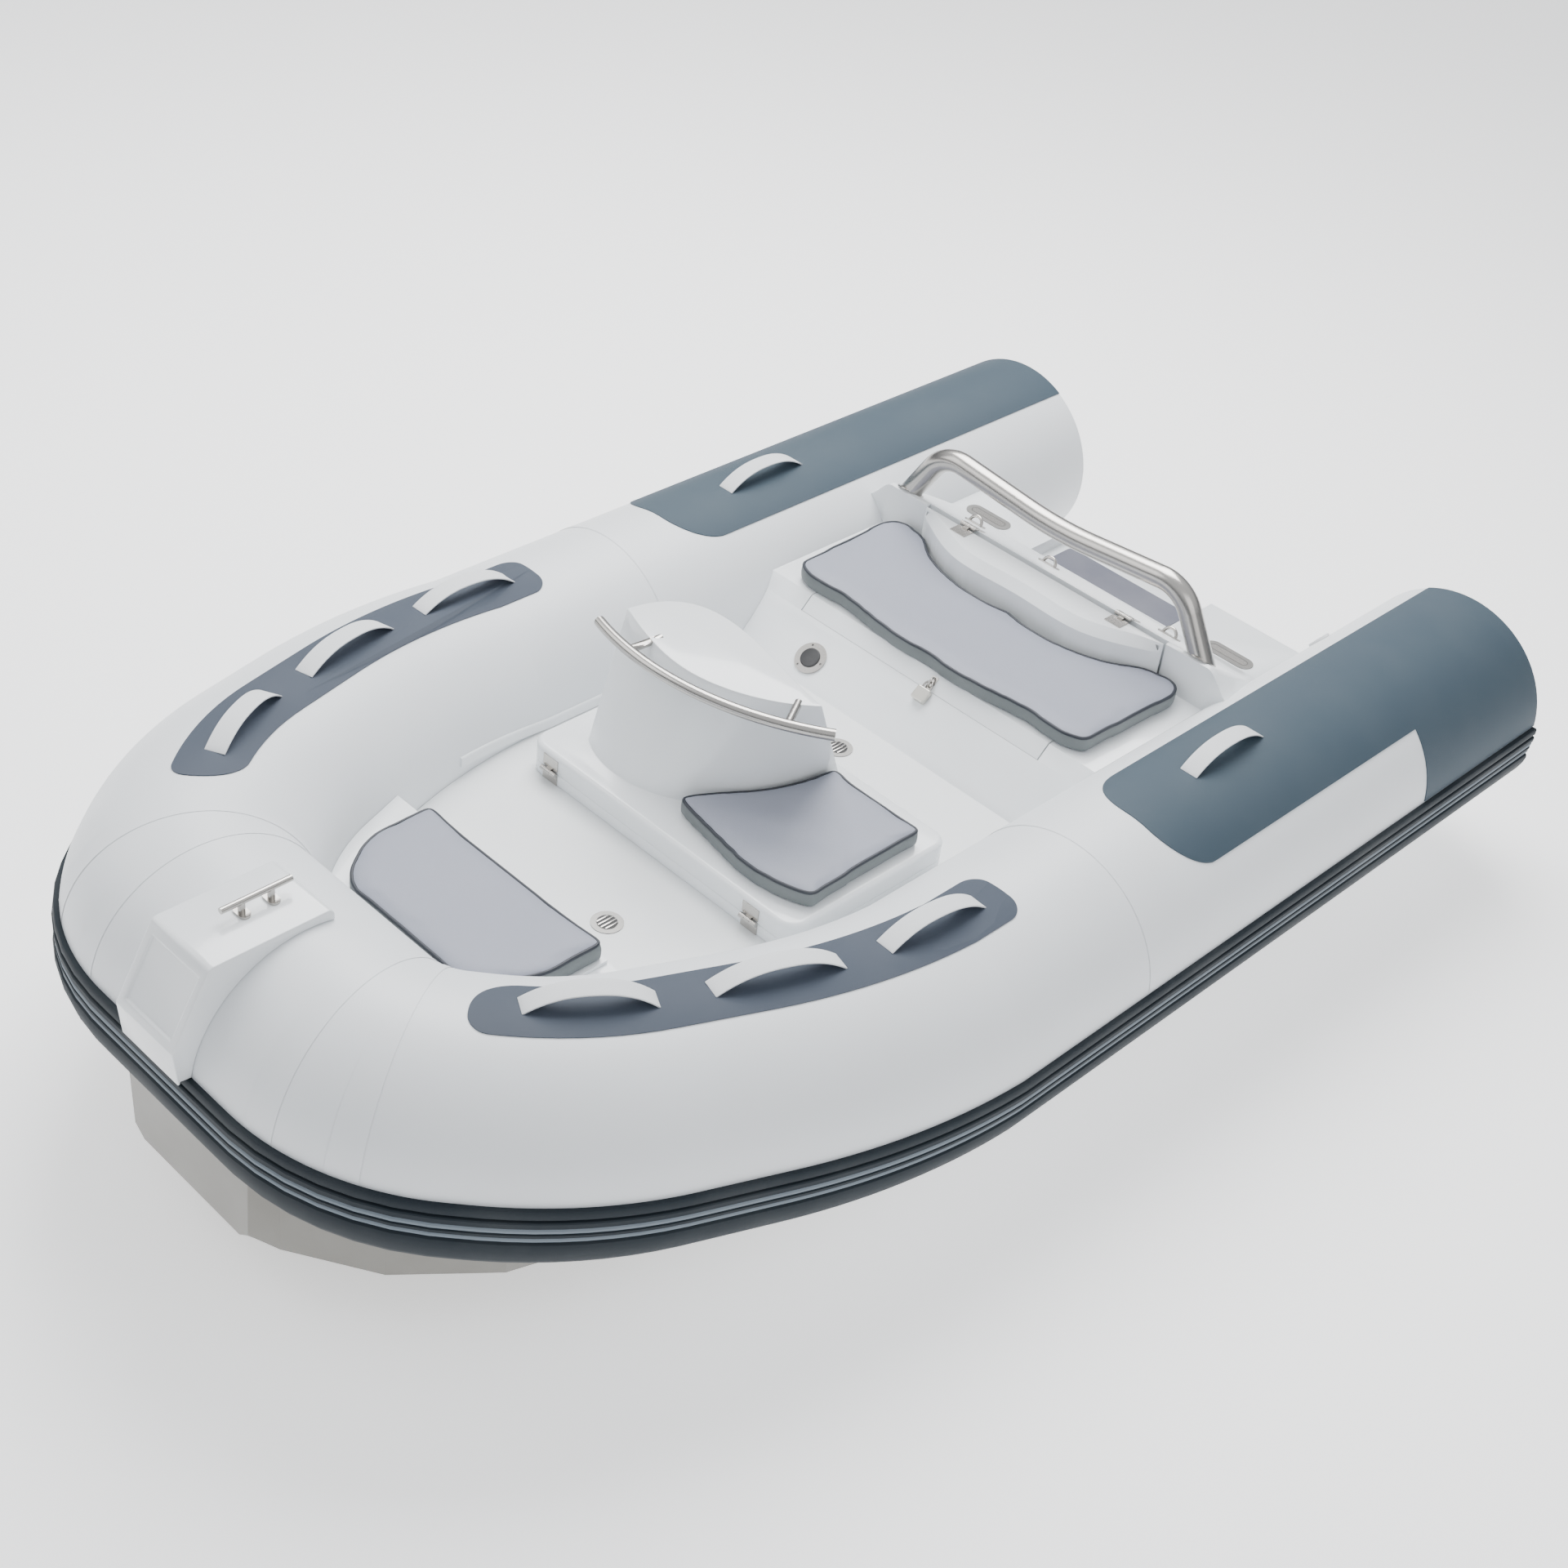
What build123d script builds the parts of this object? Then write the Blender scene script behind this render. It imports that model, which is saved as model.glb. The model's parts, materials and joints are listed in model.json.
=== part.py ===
from build123d import *
from math import atan2, cos, radians, sin, sqrt
import os

# Rigid-hull inflatable tender. Millimetres. +Z up, +X port, -Y towards the bow.
# The origin is on the ground under the middle of the boat, which rests on its keel pad.

# ---- collar (the inflated tube) ----
tube_r = 216.0              # outside radius of the inflated tube
skin = 1.5                  # coated fabric of the tube
half_spacing = 618.0        # centre plane to the straight tube's axis
aft_axis_z = 338.0          # height of the straight tube's axis
joint_y = -300.0            # where the straight tube meets the rising forward part
sheer_angle = 5.86          # rise of the forward part's plane, degrees
stern_end_y = 1376.0        # seam between the straight tube and its end cone
cone_length = 72.0          # how far the domed end stands out
bow_corner = (240.0, 47.4)  # radius and turn of the tight corner at the bow
shoulder_line = 36.0
shoulder = (614.0, 24.6)    # radius and turn of the shoulder
side_line = 167.0
side = (1300.0, 18.0)       # radius and turn of the long side curve
joint_line = 16.0           # straight end of the forward part, where the mitre falls

# ---- rub strake, patches and strap handles on the collar ----
strake_depth = 20.0
strake_phi = (87.0, 123.0)  # degrees from the top of the tube, outboard positive
pad_thick = 2.0
pad_phi = (-16.0, 16.0)
patch_phi = (-28.0, 44.0)
patch_low_phi = 86.0
patch_start_y = 185.0
patch_low_y = 946.0
strap_width = 38.0
strap_thick = 2.5
strap_rise = 30.0
strap_foot = 26.0

# ---- hull and deck ----
hull_wall = 6.0
sole_z = 350.0
sole_thick = 6.0
transom_y = 1066.0
deck_z = 434.0              # stern deck
wall = 5.0                  # laminate of the deck mouldings
gap = 0.4                   # clearance between parts of different bodies

# ---- bow locker ----
bow_deck_z = 425.0
bow_aft_y = -712.0
bow_lid_half = 243.0
bow_lid_front_y = -968.0
lid_thick = 6.0
cushion_thick = 38.0

# ---- console module ----
module_x = (-335.0, 370.0)
module_y = (-399.0, 20.0)
module_seam_z = 376.0
module_top_z = 416.0
module_corner = 38.0
pod_top_z = 673.0
rail_r = 11.0
rail_z = pod_top_z - 5.0    # the grab rail stands just below the pod's crown

# ---- stern seat ----
seat_half = 320.0           # half width of the hinged seat lid
seat_z = 458.0
seat_front = (350.0, 458.0)  # y, z of the lid's front top edge
seam_front = (322.0, 430.0)  # y, z of the seam under it
ramp_foot_y = 216.0
roll_front_y = 607.0
roll_top_z = 553.0
seat_hinge_y = 694.0
seat_cushion_x = 407.0

# ---- stern fittings ----
arch_r = 24.0
arch_y = 716.0
arch_foot_x = 395.0
arch_corner = (316.0, 676.0)
arch_mid_z = 645.0
well_half = 190.0
well_y = (910.0, 1040.0)
well_z = 404.0
cleat_x = 334.0
cleat_y = 932.0

sheer = radians(sheer_angle)
forward_plane = Plane(origin=(0, joint_y, aft_axis_z), x_dir=(1, 0, 0), z_dir=(0, sin(sheer), cos(sheer)))
mitre_plane = Plane(origin=(0, joint_y, aft_axis_z), x_dir=(1, 0, 0), z_dir=(0, cos(sheer / 2), -sin(sheer / 2)))


def collar_runs():
    """Runs of the forward centreline from the bow's middle aft: (kind, size, turn), then their starts."""
    runs = [["line", 0.0, 0.0], ["arc", *bow_corner], ["line", shoulder_line, 0.0],
            ["arc", *shoulder], ["line", side_line, 0.0], ["arc", *side], ["line", joint_line, 0.0]]

    def walk(x, v):
        heading, stations = 0.0, []
        for kind, size, turn in runs:
            stations.append((x, v, heading))
            if kind == "line":
                x, v = x + size * cos(radians(heading)), v + size * sin(radians(heading))
            else:
                x += size * (sin(radians(heading + turn)) - sin(radians(heading)))
                v += size * (cos(radians(heading)) - cos(radians(heading + turn)))
                heading += turn
        stations.append((x, v, heading))
        return stations

    x_end, v_end, _ = walk(0.0, 0.0)[-1]
    runs[0][1] = half_spacing - x_end
    return runs, walk(0.0, -v_end)


runs, stations = collar_runs()
last_run = len(runs) - 1


def run_length(index):
    kind, size, turn = runs[index]
    return size if kind == "line" else size * radians(turn)


def on_axis(s):
    """Point and heading of the port centreline at a distance s aft of the bow's middle."""
    for index in range(len(runs)):
        length = run_length(index)
        if s <= length:
            x, v, heading = stations[index]
            kind, size, turn = runs[index]
            if kind == "line":
                local = (x + s * cos(radians(heading)), v + s * sin(radians(heading)))
            else:
                now = heading + turn * s / length
                local = (x + size * (sin(radians(now)) - sin(radians(heading))),
                         v + size * (cos(radians(heading)) - cos(radians(now))))
                heading = now
            point = forward_plane.from_local_coords((*local, 0))
            return point, heading
        s -= length
    return Vector(half_spacing, joint_y + s, aft_axis_z), 90.0


def ring(outer, inner=0.0):
    """Section of the tube: a disc, or a ring where an inner radius is given."""
    with BuildSketch() as profile:
        Circle(outer)
        if inner:
            Circle(inner, mode=Mode.SUBTRACT)
    return profile.sketch


def sector(inner, outer, phi_from, phi_to):
    """Part of a ring, its angles counted from the top of the tube, outboard positive."""
    start, size = 90 - phi_to, phi_to - phi_from
    with BuildSketch() as profile:
        with BuildLine():
            outside = CenterArc((0, 0), outer, start, size)
            inside = CenterArc((0, 0), inner, start, size)
            Line(outside @ 0, inside @ 0)
            Line(outside @ 1, inside @ 1)
        make_face()
    return profile.sketch


overrun = 40.0              # how far a cutter or a mitred piece runs past its end before it is cut


def forward_piece(first, last, profile, to_joint=False, cutter=False):
    """Sweep a profile along runs first to last; the last one is cut on the mitre with the straight tube."""
    with BuildPart() as piece:
        with BuildLine(forward_plane) as path:
            if cutter and first == 0:
                x, v, _ = stations[0]
                Line((x - overrun, v), (x, v))
            for index in range(first, last + 1):
                kind, size, turn = runs[index]
                x, v, heading = stations[index]
                if kind == "line":
                    Line((x, v), stations[index + 1][:2])
                else:
                    JernArc((x, v), (cos(radians(heading)), sin(radians(heading))), size, turn)
            if to_joint or (cutter and last == last_run):
                x, v, _ = stations[-1]
                Line((x, v), (x, v + overrun))
        heading = path.line % 0
        outboard = heading.cross(forward_plane.z_dir)
        with BuildSketch(Plane(origin=path.line @ 0, x_dir=outboard, z_dir=-heading)):
            add(profile)
        sweep(path=path.wires()[0])
        if to_joint:
            split(bisect_by=mitre_plane, keep=Keep.BOTTOM)
    return piece.part


def aft_piece(y_from, y_to, profile, from_joint=True):
    """Extrude a profile along the straight tube."""
    start_y = y_from - overrun if from_joint else y_from
    with BuildPart() as piece:
        with BuildSketch(Plane(origin=(half_spacing, start_y, aft_axis_z), x_dir=(1, 0, 0), z_dir=(0, -1, 0))):
            add(profile)
        extrude(amount=-(y_to - start_y))
        if from_joint:
            split(bisect_by=mitre_plane, keep=Keep.TOP)
    return piece.part


def flipped(shape):
    with BuildPart() as other:
        add(shape)
        mirror(shape, about=Plane.YZ, mode=Mode.REPLACE)
    return other.part


def tube_solids(radius, sides=(1, -1)):
    """The whole tube as solid cutters that overlap at their ends, for what is bonded to it."""
    disc = ring(radius)
    port = [forward_piece(0, last_run, disc, cutter=True),
            aft_piece(joint_y - overrun, stern_end_y + overrun, disc, False)]
    return [shape if side > 0 else flipped(shape) for side in sides for shape in port]


def write(name, shape):
    shape.label = name
    export_step(shape, f"parts/{name}.step")


os.makedirs("parts", exist_ok=True)
glue_line = 0.6             # adhesive between the collar and what is bonded to it
tools = tube_solids(tube_r + glue_line)


def trim(shapes=None):
    """Cut the pending part back to the outside of the tube."""
    for shape in shapes or tools:
        add(shape, mode=Mode.SUBTRACT)


def pair(name, shape):
    write(f"{name}_port", shape)
    write(f"{name}_stbd", flipped(shape))


# ---- collar chambers ----
tube_profile = ring(tube_r, tube_r - skin)
bow_half = forward_piece(0, 1, tube_profile)
with BuildPart() as collar_bow:
    add(bow_half)
    add(flipped(bow_half))
write("collar_bow", collar_bow.part)
pair("collar_shoulder", forward_piece(2, 3, tube_profile))
pair("collar_side", forward_piece(4, last_run, tube_profile, True))
pair("collar_aft", aft_piece(joint_y, stern_end_y, tube_profile))


def dome(radius, height):
    """Three points of the end cone's outline, from the rim to the tip."""
    ball = (radius ** 2 + height ** 2) / (2 * height)
    half = atan2(radius, ball - height) / 2
    return (radius, 0), (ball * sin(half), height - ball * (1 - cos(half))), (0, height)


with BuildPart() as cone:
    with BuildSketch(Plane(origin=(half_spacing, stern_end_y, aft_axis_z), x_dir=(1, 0, 0), z_dir=(0, 0, 1))):
        with BuildLine():
            outer = ThreePointArc(*dome(tube_r, cone_length))
            inner = ThreePointArc(*dome(tube_r - skin, cone_length - skin))
            Line(outer @ 0, inner @ 0)
            Line(outer @ 1, inner @ 1)
        make_face()
    revolve(axis=Axis((half_spacing, stern_end_y, aft_axis_z), (0, 1, 0)))
pair("collar_cone", cone.part)

# ---- rub strake ----
strake_profile = sector(tube_r, tube_r + strake_depth, *strake_phi)
strake_half = forward_piece(0, 1, strake_profile)
with BuildPart() as rub_strake_bow:
    add(strake_half)
    add(flipped(strake_half))
write("rub_strake_bow", rub_strake_bow.part)
with BuildPart() as rub_strake_forward:
    add(forward_piece(2, 3, strake_profile))
    add(forward_piece(4, last_run, strake_profile, True))
pair("rub_strake_forward", rub_strake_forward.part)
pair("rub_strake_aft", aft_piece(joint_y, stern_end_y, strake_profile))

# ---- handle pads and stern patches: reinforcing layers glued to the tube ----
pad_end_y = -165.0
pad_round = 40.0
patch_round = 100.0
pad_profile = sector(tube_r, tube_r + pad_thick, *pad_phi)


def round_end(point, direction, low, high, radius):
    """What to cut off an end to round it, seen from above; low and high are its edges beside the centreline."""
    width = high - low
    with BuildPart() as corners:
        with BuildSketch(Plane(origin=point + Vector(0, 0, 300), x_dir=direction, z_dir=(0, 0, 1))):
            with Locations((radius / 2 - 5, -(low + high) / 2)):
                Rectangle(radius + 10, width + 40)
            with Locations((radius + 50, -(low + high) / 2)):
                RectangleRounded(2 * radius + 100, width, radius, mode=Mode.SUBTRACT)
        extrude(amount=-360)
    return corners.part


def across(phi):
    """Distance outboard of the centreline, seen from above, of an edge at this angle."""
    return (tube_r + pad_thick) * sin(radians(phi))


pad_front, turn = on_axis(run_length(0) + run_length(1))
pad_dir = forward_plane.x_dir * cos(radians(turn)) + forward_plane.y_dir * sin(radians(turn))
pad_rear = Vector(half_spacing, pad_end_y, aft_axis_z)
with BuildPart() as handle_pad:
    add(forward_piece(2, last_run, pad_profile, True))
    add(aft_piece(joint_y, pad_end_y, pad_profile))
    add(round_end(pad_front, pad_dir, across(pad_phi[0]), across(pad_phi[1]), pad_round), mode=Mode.SUBTRACT)
    add(round_end(pad_rear, Vector(0, -1, 0), -across(pad_phi[1]), -across(pad_phi[0]), pad_round),
        mode=Mode.SUBTRACT)
pair("handle_pad", handle_pad.part)

patch_front = Vector(half_spacing, patch_start_y, aft_axis_z)
upper_patch = sector(tube_r, tube_r + pad_thick, *patch_phi)
low_patch = sector(tube_r, tube_r + pad_thick, patch_phi[1], patch_low_phi)
with BuildPart() as stern_patch:
    add(aft_piece(patch_start_y, stern_end_y, upper_patch, False))
    add(aft_piece(patch_low_y, stern_end_y, low_patch, False))
    add(round_end(patch_front, Vector(0, 1, 0), across(patch_phi[0]), across(patch_phi[1]), patch_round),
        mode=Mode.SUBTRACT)
pair("stern_patch", stern_patch.part)

# ---- strap handles: flat webbing with a foot at each end and an arch between ----
strap_spans = {"a": (445, 662), "b": (754, 996), "c": (1087, 1338), "d": (1932, 2145)}


def strap_handle(s_from, s_to):
    start, _ = on_axis(s_from)
    end, _ = on_axis(s_to)
    along = (end - start).normalized()
    side_dir = along.cross(Vector(0, 0, 1)).normalized()
    up = side_dir.cross(along)
    length = (end - start).length
    crown = tube_r + pad_thick
    with BuildPart() as strap:
        with BuildSketch(Plane(origin=start + up * crown, x_dir=along, z_dir=side_dir)):
            with BuildLine():
                knots = [(0, 0), (strap_foot, 0), (length * 0.32, strap_rise * 0.86), (length / 2, strap_rise),
                         (length * 0.68, strap_rise * 0.86), (length - strap_foot, 0), (length, 0)]
                low = Spline(knots[1:-1], tangents=[(1, 0.35), (1, -0.35)])
                high = Spline([(x, z + strap_thick) for x, z in knots[1:-1]], tangents=[(1, 0.35), (1, -0.35)])
                sink = -9.0
                Polyline(low @ 0, (strap_foot, sink), (0, sink), (0, strap_thick), high @ 0)
                Polyline(low @ 1, (length - strap_foot, sink), (length, sink), (length, strap_thick), high @ 1)
            make_face()
        extrude(amount=strap_width / 2, both=True)
        trim(pad_tools)
    return strap.part


pad_tools = tube_solids(tube_r + pad_thick, (1,))
for letter, span in strap_spans.items():
    pair(f"strap_handle_{letter}", strap_handle(*span))

# ---- hull: stations from the transom to the stem ----
# each is y, keel half width, keel z, chine x, chine z, top of the side x, z
hull_stations = [(transom_y, 60, 0, 500, 112, 505, 178), (0, 60, 0, 500, 112, 505, 178),
                 (-600, 60, 0, 542, 118, 546, 200), (-900, 66, 10, 520, 122, 524, 226),
                 (-1100, 76, 32, 458, 126, 462, 250), (-1250, 95, 66, 340, 126, 344, 266),
                 (-1345, 120, 98, 190, 124, 196, 288), (-1384, 135, 140, 160, 160, 166, 300)]
hull_top_z = sole_z - sole_thick


def hull_section(station, inset, top_x):
    y, keel_half, keel_z, chine_x, chine_z, side_x, side_z = station
    half = [(keel_half - inset / 3, keel_z + inset), (chine_x - 1.3 * inset, chine_z + inset),
            (side_x - inset, side_z), (top_x - inset, hull_top_z)]
    Polygon(*half, *[(-x, z) for x, z in reversed(half)], align=None)


def hull_loft(inset, y_aft, y_fore):
    """Loft through the stations; an inset makes the inside of the laminate."""
    with BuildPart() as body:
        for station in hull_stations:
            y = max(min(station[0], y_aft), y_fore)
            if inset and station is hull_stations[-1]:
                continue
            top_x = 420 if station[0] > -500 else max(150, station[3] - 110)
            with BuildSketch(Plane.XZ.offset(-y)):
                hull_section(station, inset, top_x)
        loft(ruled=True)
    return body.part


strake_cutter = forward_piece(0, 3, sector(tube_r - 1, tube_r + strake_depth + glue_line,
                                            strake_phi[0] - 0.2, strake_phi[1] + 0.2), cutter=True)
strake_tools = [strake_cutter, flipped(strake_cutter)]
inside_tools = tube_solids(tube_r + hull_wall)
with BuildPart() as hull_cavity:
    add(hull_loft(hull_wall, transom_y - 10, -1338))
    trim(inside_tools)
with BuildPart() as hull_shell:
    add(hull_loft(0.0, transom_y, -1400))
    trim()
    trim(strake_tools)
    add(hull_cavity.part, mode=Mode.SUBTRACT)
write("hull_shell", hull_shell.part)

# ---- deck: sole, plinth under the console, coamings ----
plinth_wall = 22.0
with BuildPart() as deck_sole:
    with BuildSketch(Plane.XY.offset(sole_z - sole_thick)):
        with BuildLine():
            Polyline((-450, transom_y), (450, transom_y), (450, -300), (330, -940), (-330, -940), (-450, -300),
                     (-450, transom_y))
        make_face()
    extrude(amount=sole_thick)
    trim()
write("deck_sole", deck_sole.part)

module_mid_x = sum(module_x) / 2
module_mid_y = sum(module_y) / 2
module_w = module_x[1] - module_x[0]
module_l = module_y[1] - module_y[0]


def module_outline(inset=0.0):
    with Locations((module_mid_x, module_mid_y)):
        RectangleRounded(module_w - 2 * inset, module_l - 2 * inset, module_corner - min(inset, 25))


with BuildPart() as console_plinth:
    with BuildSketch(Plane.XY.offset(sole_z)):
        module_outline()
        with Locations((module_mid_x, module_mid_y)):
            Rectangle(module_w - 2 * plinth_wall, module_l - 2 * plinth_wall, mode=Mode.SUBTRACT)
    extrude(amount=module_seam_z - gap - sole_z)
write("console_plinth", console_plinth.part)

coaming_thick = 5.0
coaming_phi = (-86.5, -68.0)
coaming_profile = sector(tube_r, tube_r + coaming_thick, *coaming_phi)
coaming_end_y = 196.0
with BuildPart() as deck_coaming:
    add(forward_piece(4, last_run, coaming_profile, True))
    add(aft_piece(joint_y, coaming_end_y, coaming_profile))
    with BuildSketch(Plane.XY.offset(sole_z - 100)):
        with Locations((400, 0)):
            Rectangle(600, 3000)
    extrude(amount=100, mode=Mode.SUBTRACT)
    with BuildSketch(Plane.XY.offset(sole_z)):
        with Locations((400, bow_aft_y - 500)):
            Rectangle(600, 1000)
    extrude(amount=300, mode=Mode.SUBTRACT)
with BuildPart() as deck_coamings:
    add(deck_coaming.part)
    add(flipped(deck_coaming.part))
write("deck_coamings", deck_coamings.part)

# ---- bow locker: a low tub between the tubes with a hinged lid and a cushion ----
def bow_outline(inset):
    """Outline of the bow locker's lid: straight aft edge, rounded towards the bow."""
    front_y = bow_lid_front_y + inset
    half = bow_lid_half - inset
    aft = bow_aft_y - inset
    knee = aft - 90
    bulge = (half * 0.86, (knee + front_y) / 2 - 22)
    with BuildSketch() as outline:
        with BuildLine():
            port = Line((half, aft), (half, knee))
            nose = Line((130, front_y), (0, front_y))
            Spline(port @ 1, bulge, nose @ 0, tangents=[(0, -1), (-1, -0.25)])
            Line(port @ 0, (0, aft))
            mirror(about=Plane.YZ)
        make_face()
    return outline.sketch


with BuildPart() as bow_locker:
    with BuildSketch(Plane.XY.offset(bow_deck_z - wall)):
        with BuildLine():
            Polyline((-420, bow_aft_y), (420, bow_aft_y), (300, -1010), (-300, -1010), (-420, bow_aft_y))
        make_face()
        bow_opening = 34.0
        add(bow_outline(bow_opening), mode=Mode.SUBTRACT)
    extrude(amount=wall)
    with BuildSketch(Plane.XY.offset(sole_z)):
        with Locations((0, bow_aft_y - wall / 2)):
            Rectangle(840, wall)
    extrude(amount=bow_deck_z - wall - sole_z)
    trim()
write("bow_locker", bow_locker.part)

bow_lid_z = bow_deck_z + gap
with BuildPart() as bow_locker_lid:
    with BuildSketch(Plane.XY.offset(bow_lid_z)):
        add(bow_outline(2.0))
    extrude(amount=lid_thick)
write("bow_locker_lid", bow_locker_lid.part)
with BuildPart() as bow_cushion:
    with BuildSketch(Plane.XY.offset(bow_lid_z + lid_thick)):
        add(bow_outline(0.0))
    extrude(amount=cushion_thick)
    fillet(bow_cushion.faces().sort_by(Axis.Z)[-1].edges(), radius=6)
write("bow_cushion", bow_cushion.part)

# butt hinge with a running pin, used for the bow lid, the console and the stern seat
knuckle_r = 5.0
pin_r = 2.5
pin_play = 0.05


def barrels(width, centre, middle):
    """Hinge barrels along X: the outer two on their pin, or the middle one that turns on it."""
    third = width / 3
    x, y, z = centre
    spans = [(gap - third / 2, third / 2 - gap)] if middle else [(-width / 2, -third / 2), (third / 2, width / 2)]
    with BuildPart() as knuckles:
        for low, high in spans:
            with BuildSketch(Plane(origin=(x + low, y, z), x_dir=(0, 1, 0), z_dir=(1, 0, 0))):
                Circle(knuckle_r)
                if middle:
                    Circle(pin_r + pin_play, mode=Mode.SUBTRACT)
            extrude(amount=high - low)
        if not middle:
            with BuildSketch(Plane(origin=(x - width / 2, y, z), x_dir=(0, 1, 0), z_dir=(1, 0, 0))):
                Circle(pin_r)
            extrude(amount=width)
    return knuckles.part


def block(x_range, y_range, z_range):
    """Axis-aligned plate between two corners."""
    with BuildPart() as plate:
        with BuildSketch(Plane.XY.offset(z_range[0])):
            with Locations((sum(x_range) / 2, sum(y_range) / 2)):
                Rectangle(x_range[1] - x_range[0], y_range[1] - y_range[0])
        extrude(amount=z_range[1] - z_range[0])
    return plate.part


bow_hinge_x = 150.0
bow_hinge_y = bow_aft_y + knuckle_r + 1.0
bow_hinge_z = bow_lid_z + lid_thick / 2
hinge_width = 40.0
third = hinge_width / 3
with BuildPart() as bow_hinge_base:
    for x in (-bow_hinge_x, bow_hinge_x):
        add(barrels(hinge_width, (x, bow_hinge_y, bow_hinge_z), False))
        add(block((x - hinge_width / 2, x + hinge_width / 2), (bow_aft_y, bow_aft_y + 2),
                  (bow_deck_z - 32, bow_hinge_z - knuckle_r - 1)))
        for offset in (-third, third):
            add(block((x + offset - third / 2, x + offset + third / 2), (bow_aft_y, bow_hinge_y + pin_r),
                      (bow_hinge_z - knuckle_r - 2, bow_hinge_z - pin_r)))
with BuildPart() as bow_hinge_leaf:
    for x in (-bow_hinge_x, bow_hinge_x):
        add(barrels(hinge_width, (x, bow_hinge_y, bow_hinge_z), True))
        add(block((x - third / 2 + gap, x + third / 2 - gap), (bow_aft_y - 2, bow_hinge_y - pin_r - 0.6),
                  (bow_hinge_z - 1, bow_hinge_z + 1)))
write("bow_hinge_leaf", bow_hinge_leaf.part)

# ---- bow step plate: moulded fairing over the bow tube, with a cleat ----
step_half = 76.0
step_top_z = 664.0
step_profile = [(-1147, 610), (-1147, step_top_z), (-1374, step_top_z), (-1447, 530), (-1440, 462), (-1380, 462)]
with BuildPart() as bow_step_plate:
    with BuildSketch(Plane.YZ.offset(-step_half)):
        with BuildLine():
            Polyline(*step_profile, step_profile[0])
        make_face()
    extrude(amount=2 * step_half)
    long_edges = bow_step_plate.edges().filter_by(Axis.X).sort_by(Axis.Z)[-2:]
    fillet(long_edges, radius=14)
    trim()
    for shape in strake_tools:
        add(shape, mode=Mode.SUBTRACT)
write("bow_step_plate", bow_step_plate.part)

cleat_mid_y = -1238.0
cleat_rise = 24.0
with BuildPart() as bow_cleat:
    for y in (cleat_mid_y - 27, cleat_mid_y + 27):
        with BuildSketch(Plane.XY.offset(step_top_z)):
            with Locations((0, y)):
                SlotOverall(34, 20)
        extrude(amount=4)
        with BuildSketch(Plane.XY.offset(step_top_z + 4)):
            with Locations((0, y)):
                Circle(6)
        extrude(amount=cleat_rise - 4)
    with BuildSketch(Plane.XZ.offset(-cleat_mid_y - 65)):
        with Locations((0, step_top_z + cleat_rise)):
            Circle(5.5)
    extrude(amount=130)
write("bow_cleat", bow_cleat.part)

# ---- console: seat box and pod in one moulding, open underneath, tilting forward ----
pod_base = ([(-263, -315), (-186, -346), (-60, -330), (20, -270), (70, -190), (95, -100), (105, -5)],
            [(105, -5), (-60, 5), (-215, -40), (-262, -160), (-263, -315)])
pod_crown = ([(-273, -228), (-168, -262), (-62, -275), (9, -262), (93, -222), (165, -157)],
             [(165, -157), (44, -131), (-66, -106), (-186, -106), (-273, -228)])
pod_shrink = 0.94           # inside of the pod's laminate


def pod_outline(curves, scale):
    """Closed outline of two curves that meet in two corners, scaled about its middle."""
    xs = [x for curve in curves for x, _ in curve]
    ys = [y for curve in curves for _, y in curve]
    mid_x, mid_y = sum(xs) / len(xs), sum(ys) / len(ys)
    with BuildSketch() as outline:
        with BuildLine():
            for curve in curves:
                Spline(*[(mid_x + (x - mid_x) * scale, mid_y + (y - mid_y) * scale) for x, y in curve])
        make_face()
    return outline.sketch


def pod_loft(low_z, high_z, scale):
    """The pod between two heights, straight-sided from its base to its crown."""
    with BuildPart() as body:
        with BuildSketch(Plane.XY.offset(low_z)):
            add(pod_outline(pod_base, scale))
        with BuildSketch(Plane.XY.offset(high_z)):
            add(pod_outline(pod_crown, scale))
        loft(ruled=True)
    return body.part


pod_outside = pod_loft(module_top_z - wall, pod_top_z, 1.0)
pod_inside = pod_loft(module_top_z - 2 * wall, pod_top_z - wall, pod_shrink)
with BuildPart() as console_module:
    with BuildSketch(Plane.XY.offset(module_seam_z)):
        module_outline()
    extrude(amount=module_top_z - module_seam_z)
    fillet(console_module.faces().sort_by(Axis.Z)[-1].edges(), radius=10)
    add(pod_outside)
    with BuildSketch(Plane.XY.offset(module_seam_z)):
        module_outline(wall)
    extrude(amount=module_top_z - module_seam_z - wall, mode=Mode.SUBTRACT)
    add(pod_inside, mode=Mode.SUBTRACT)
write("console_module", console_module.part)

with BuildPart() as front_seat_cushion:
    with BuildSketch(Plane.XY.offset(module_top_z)):
        with BuildLine():
            Spline((-3, -338), (45, -238), (77, -174), (92, -100), (108, -24))
            Spline((108, -24), (199, -38), (279, -38), (355, -38))
            Line((355, -38), (358, -341))
            Spline((358, -341), (277, -372), (196, -376), (119, -364), (42, -350), (-3, -338))
        make_face()
    extrude(amount=cushion_thick)
    add(pod_loft(module_top_z - wall, pod_top_z, 1.02), mode=Mode.SUBTRACT)
write("front_seat_cushion", front_seat_cushion.part)

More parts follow.
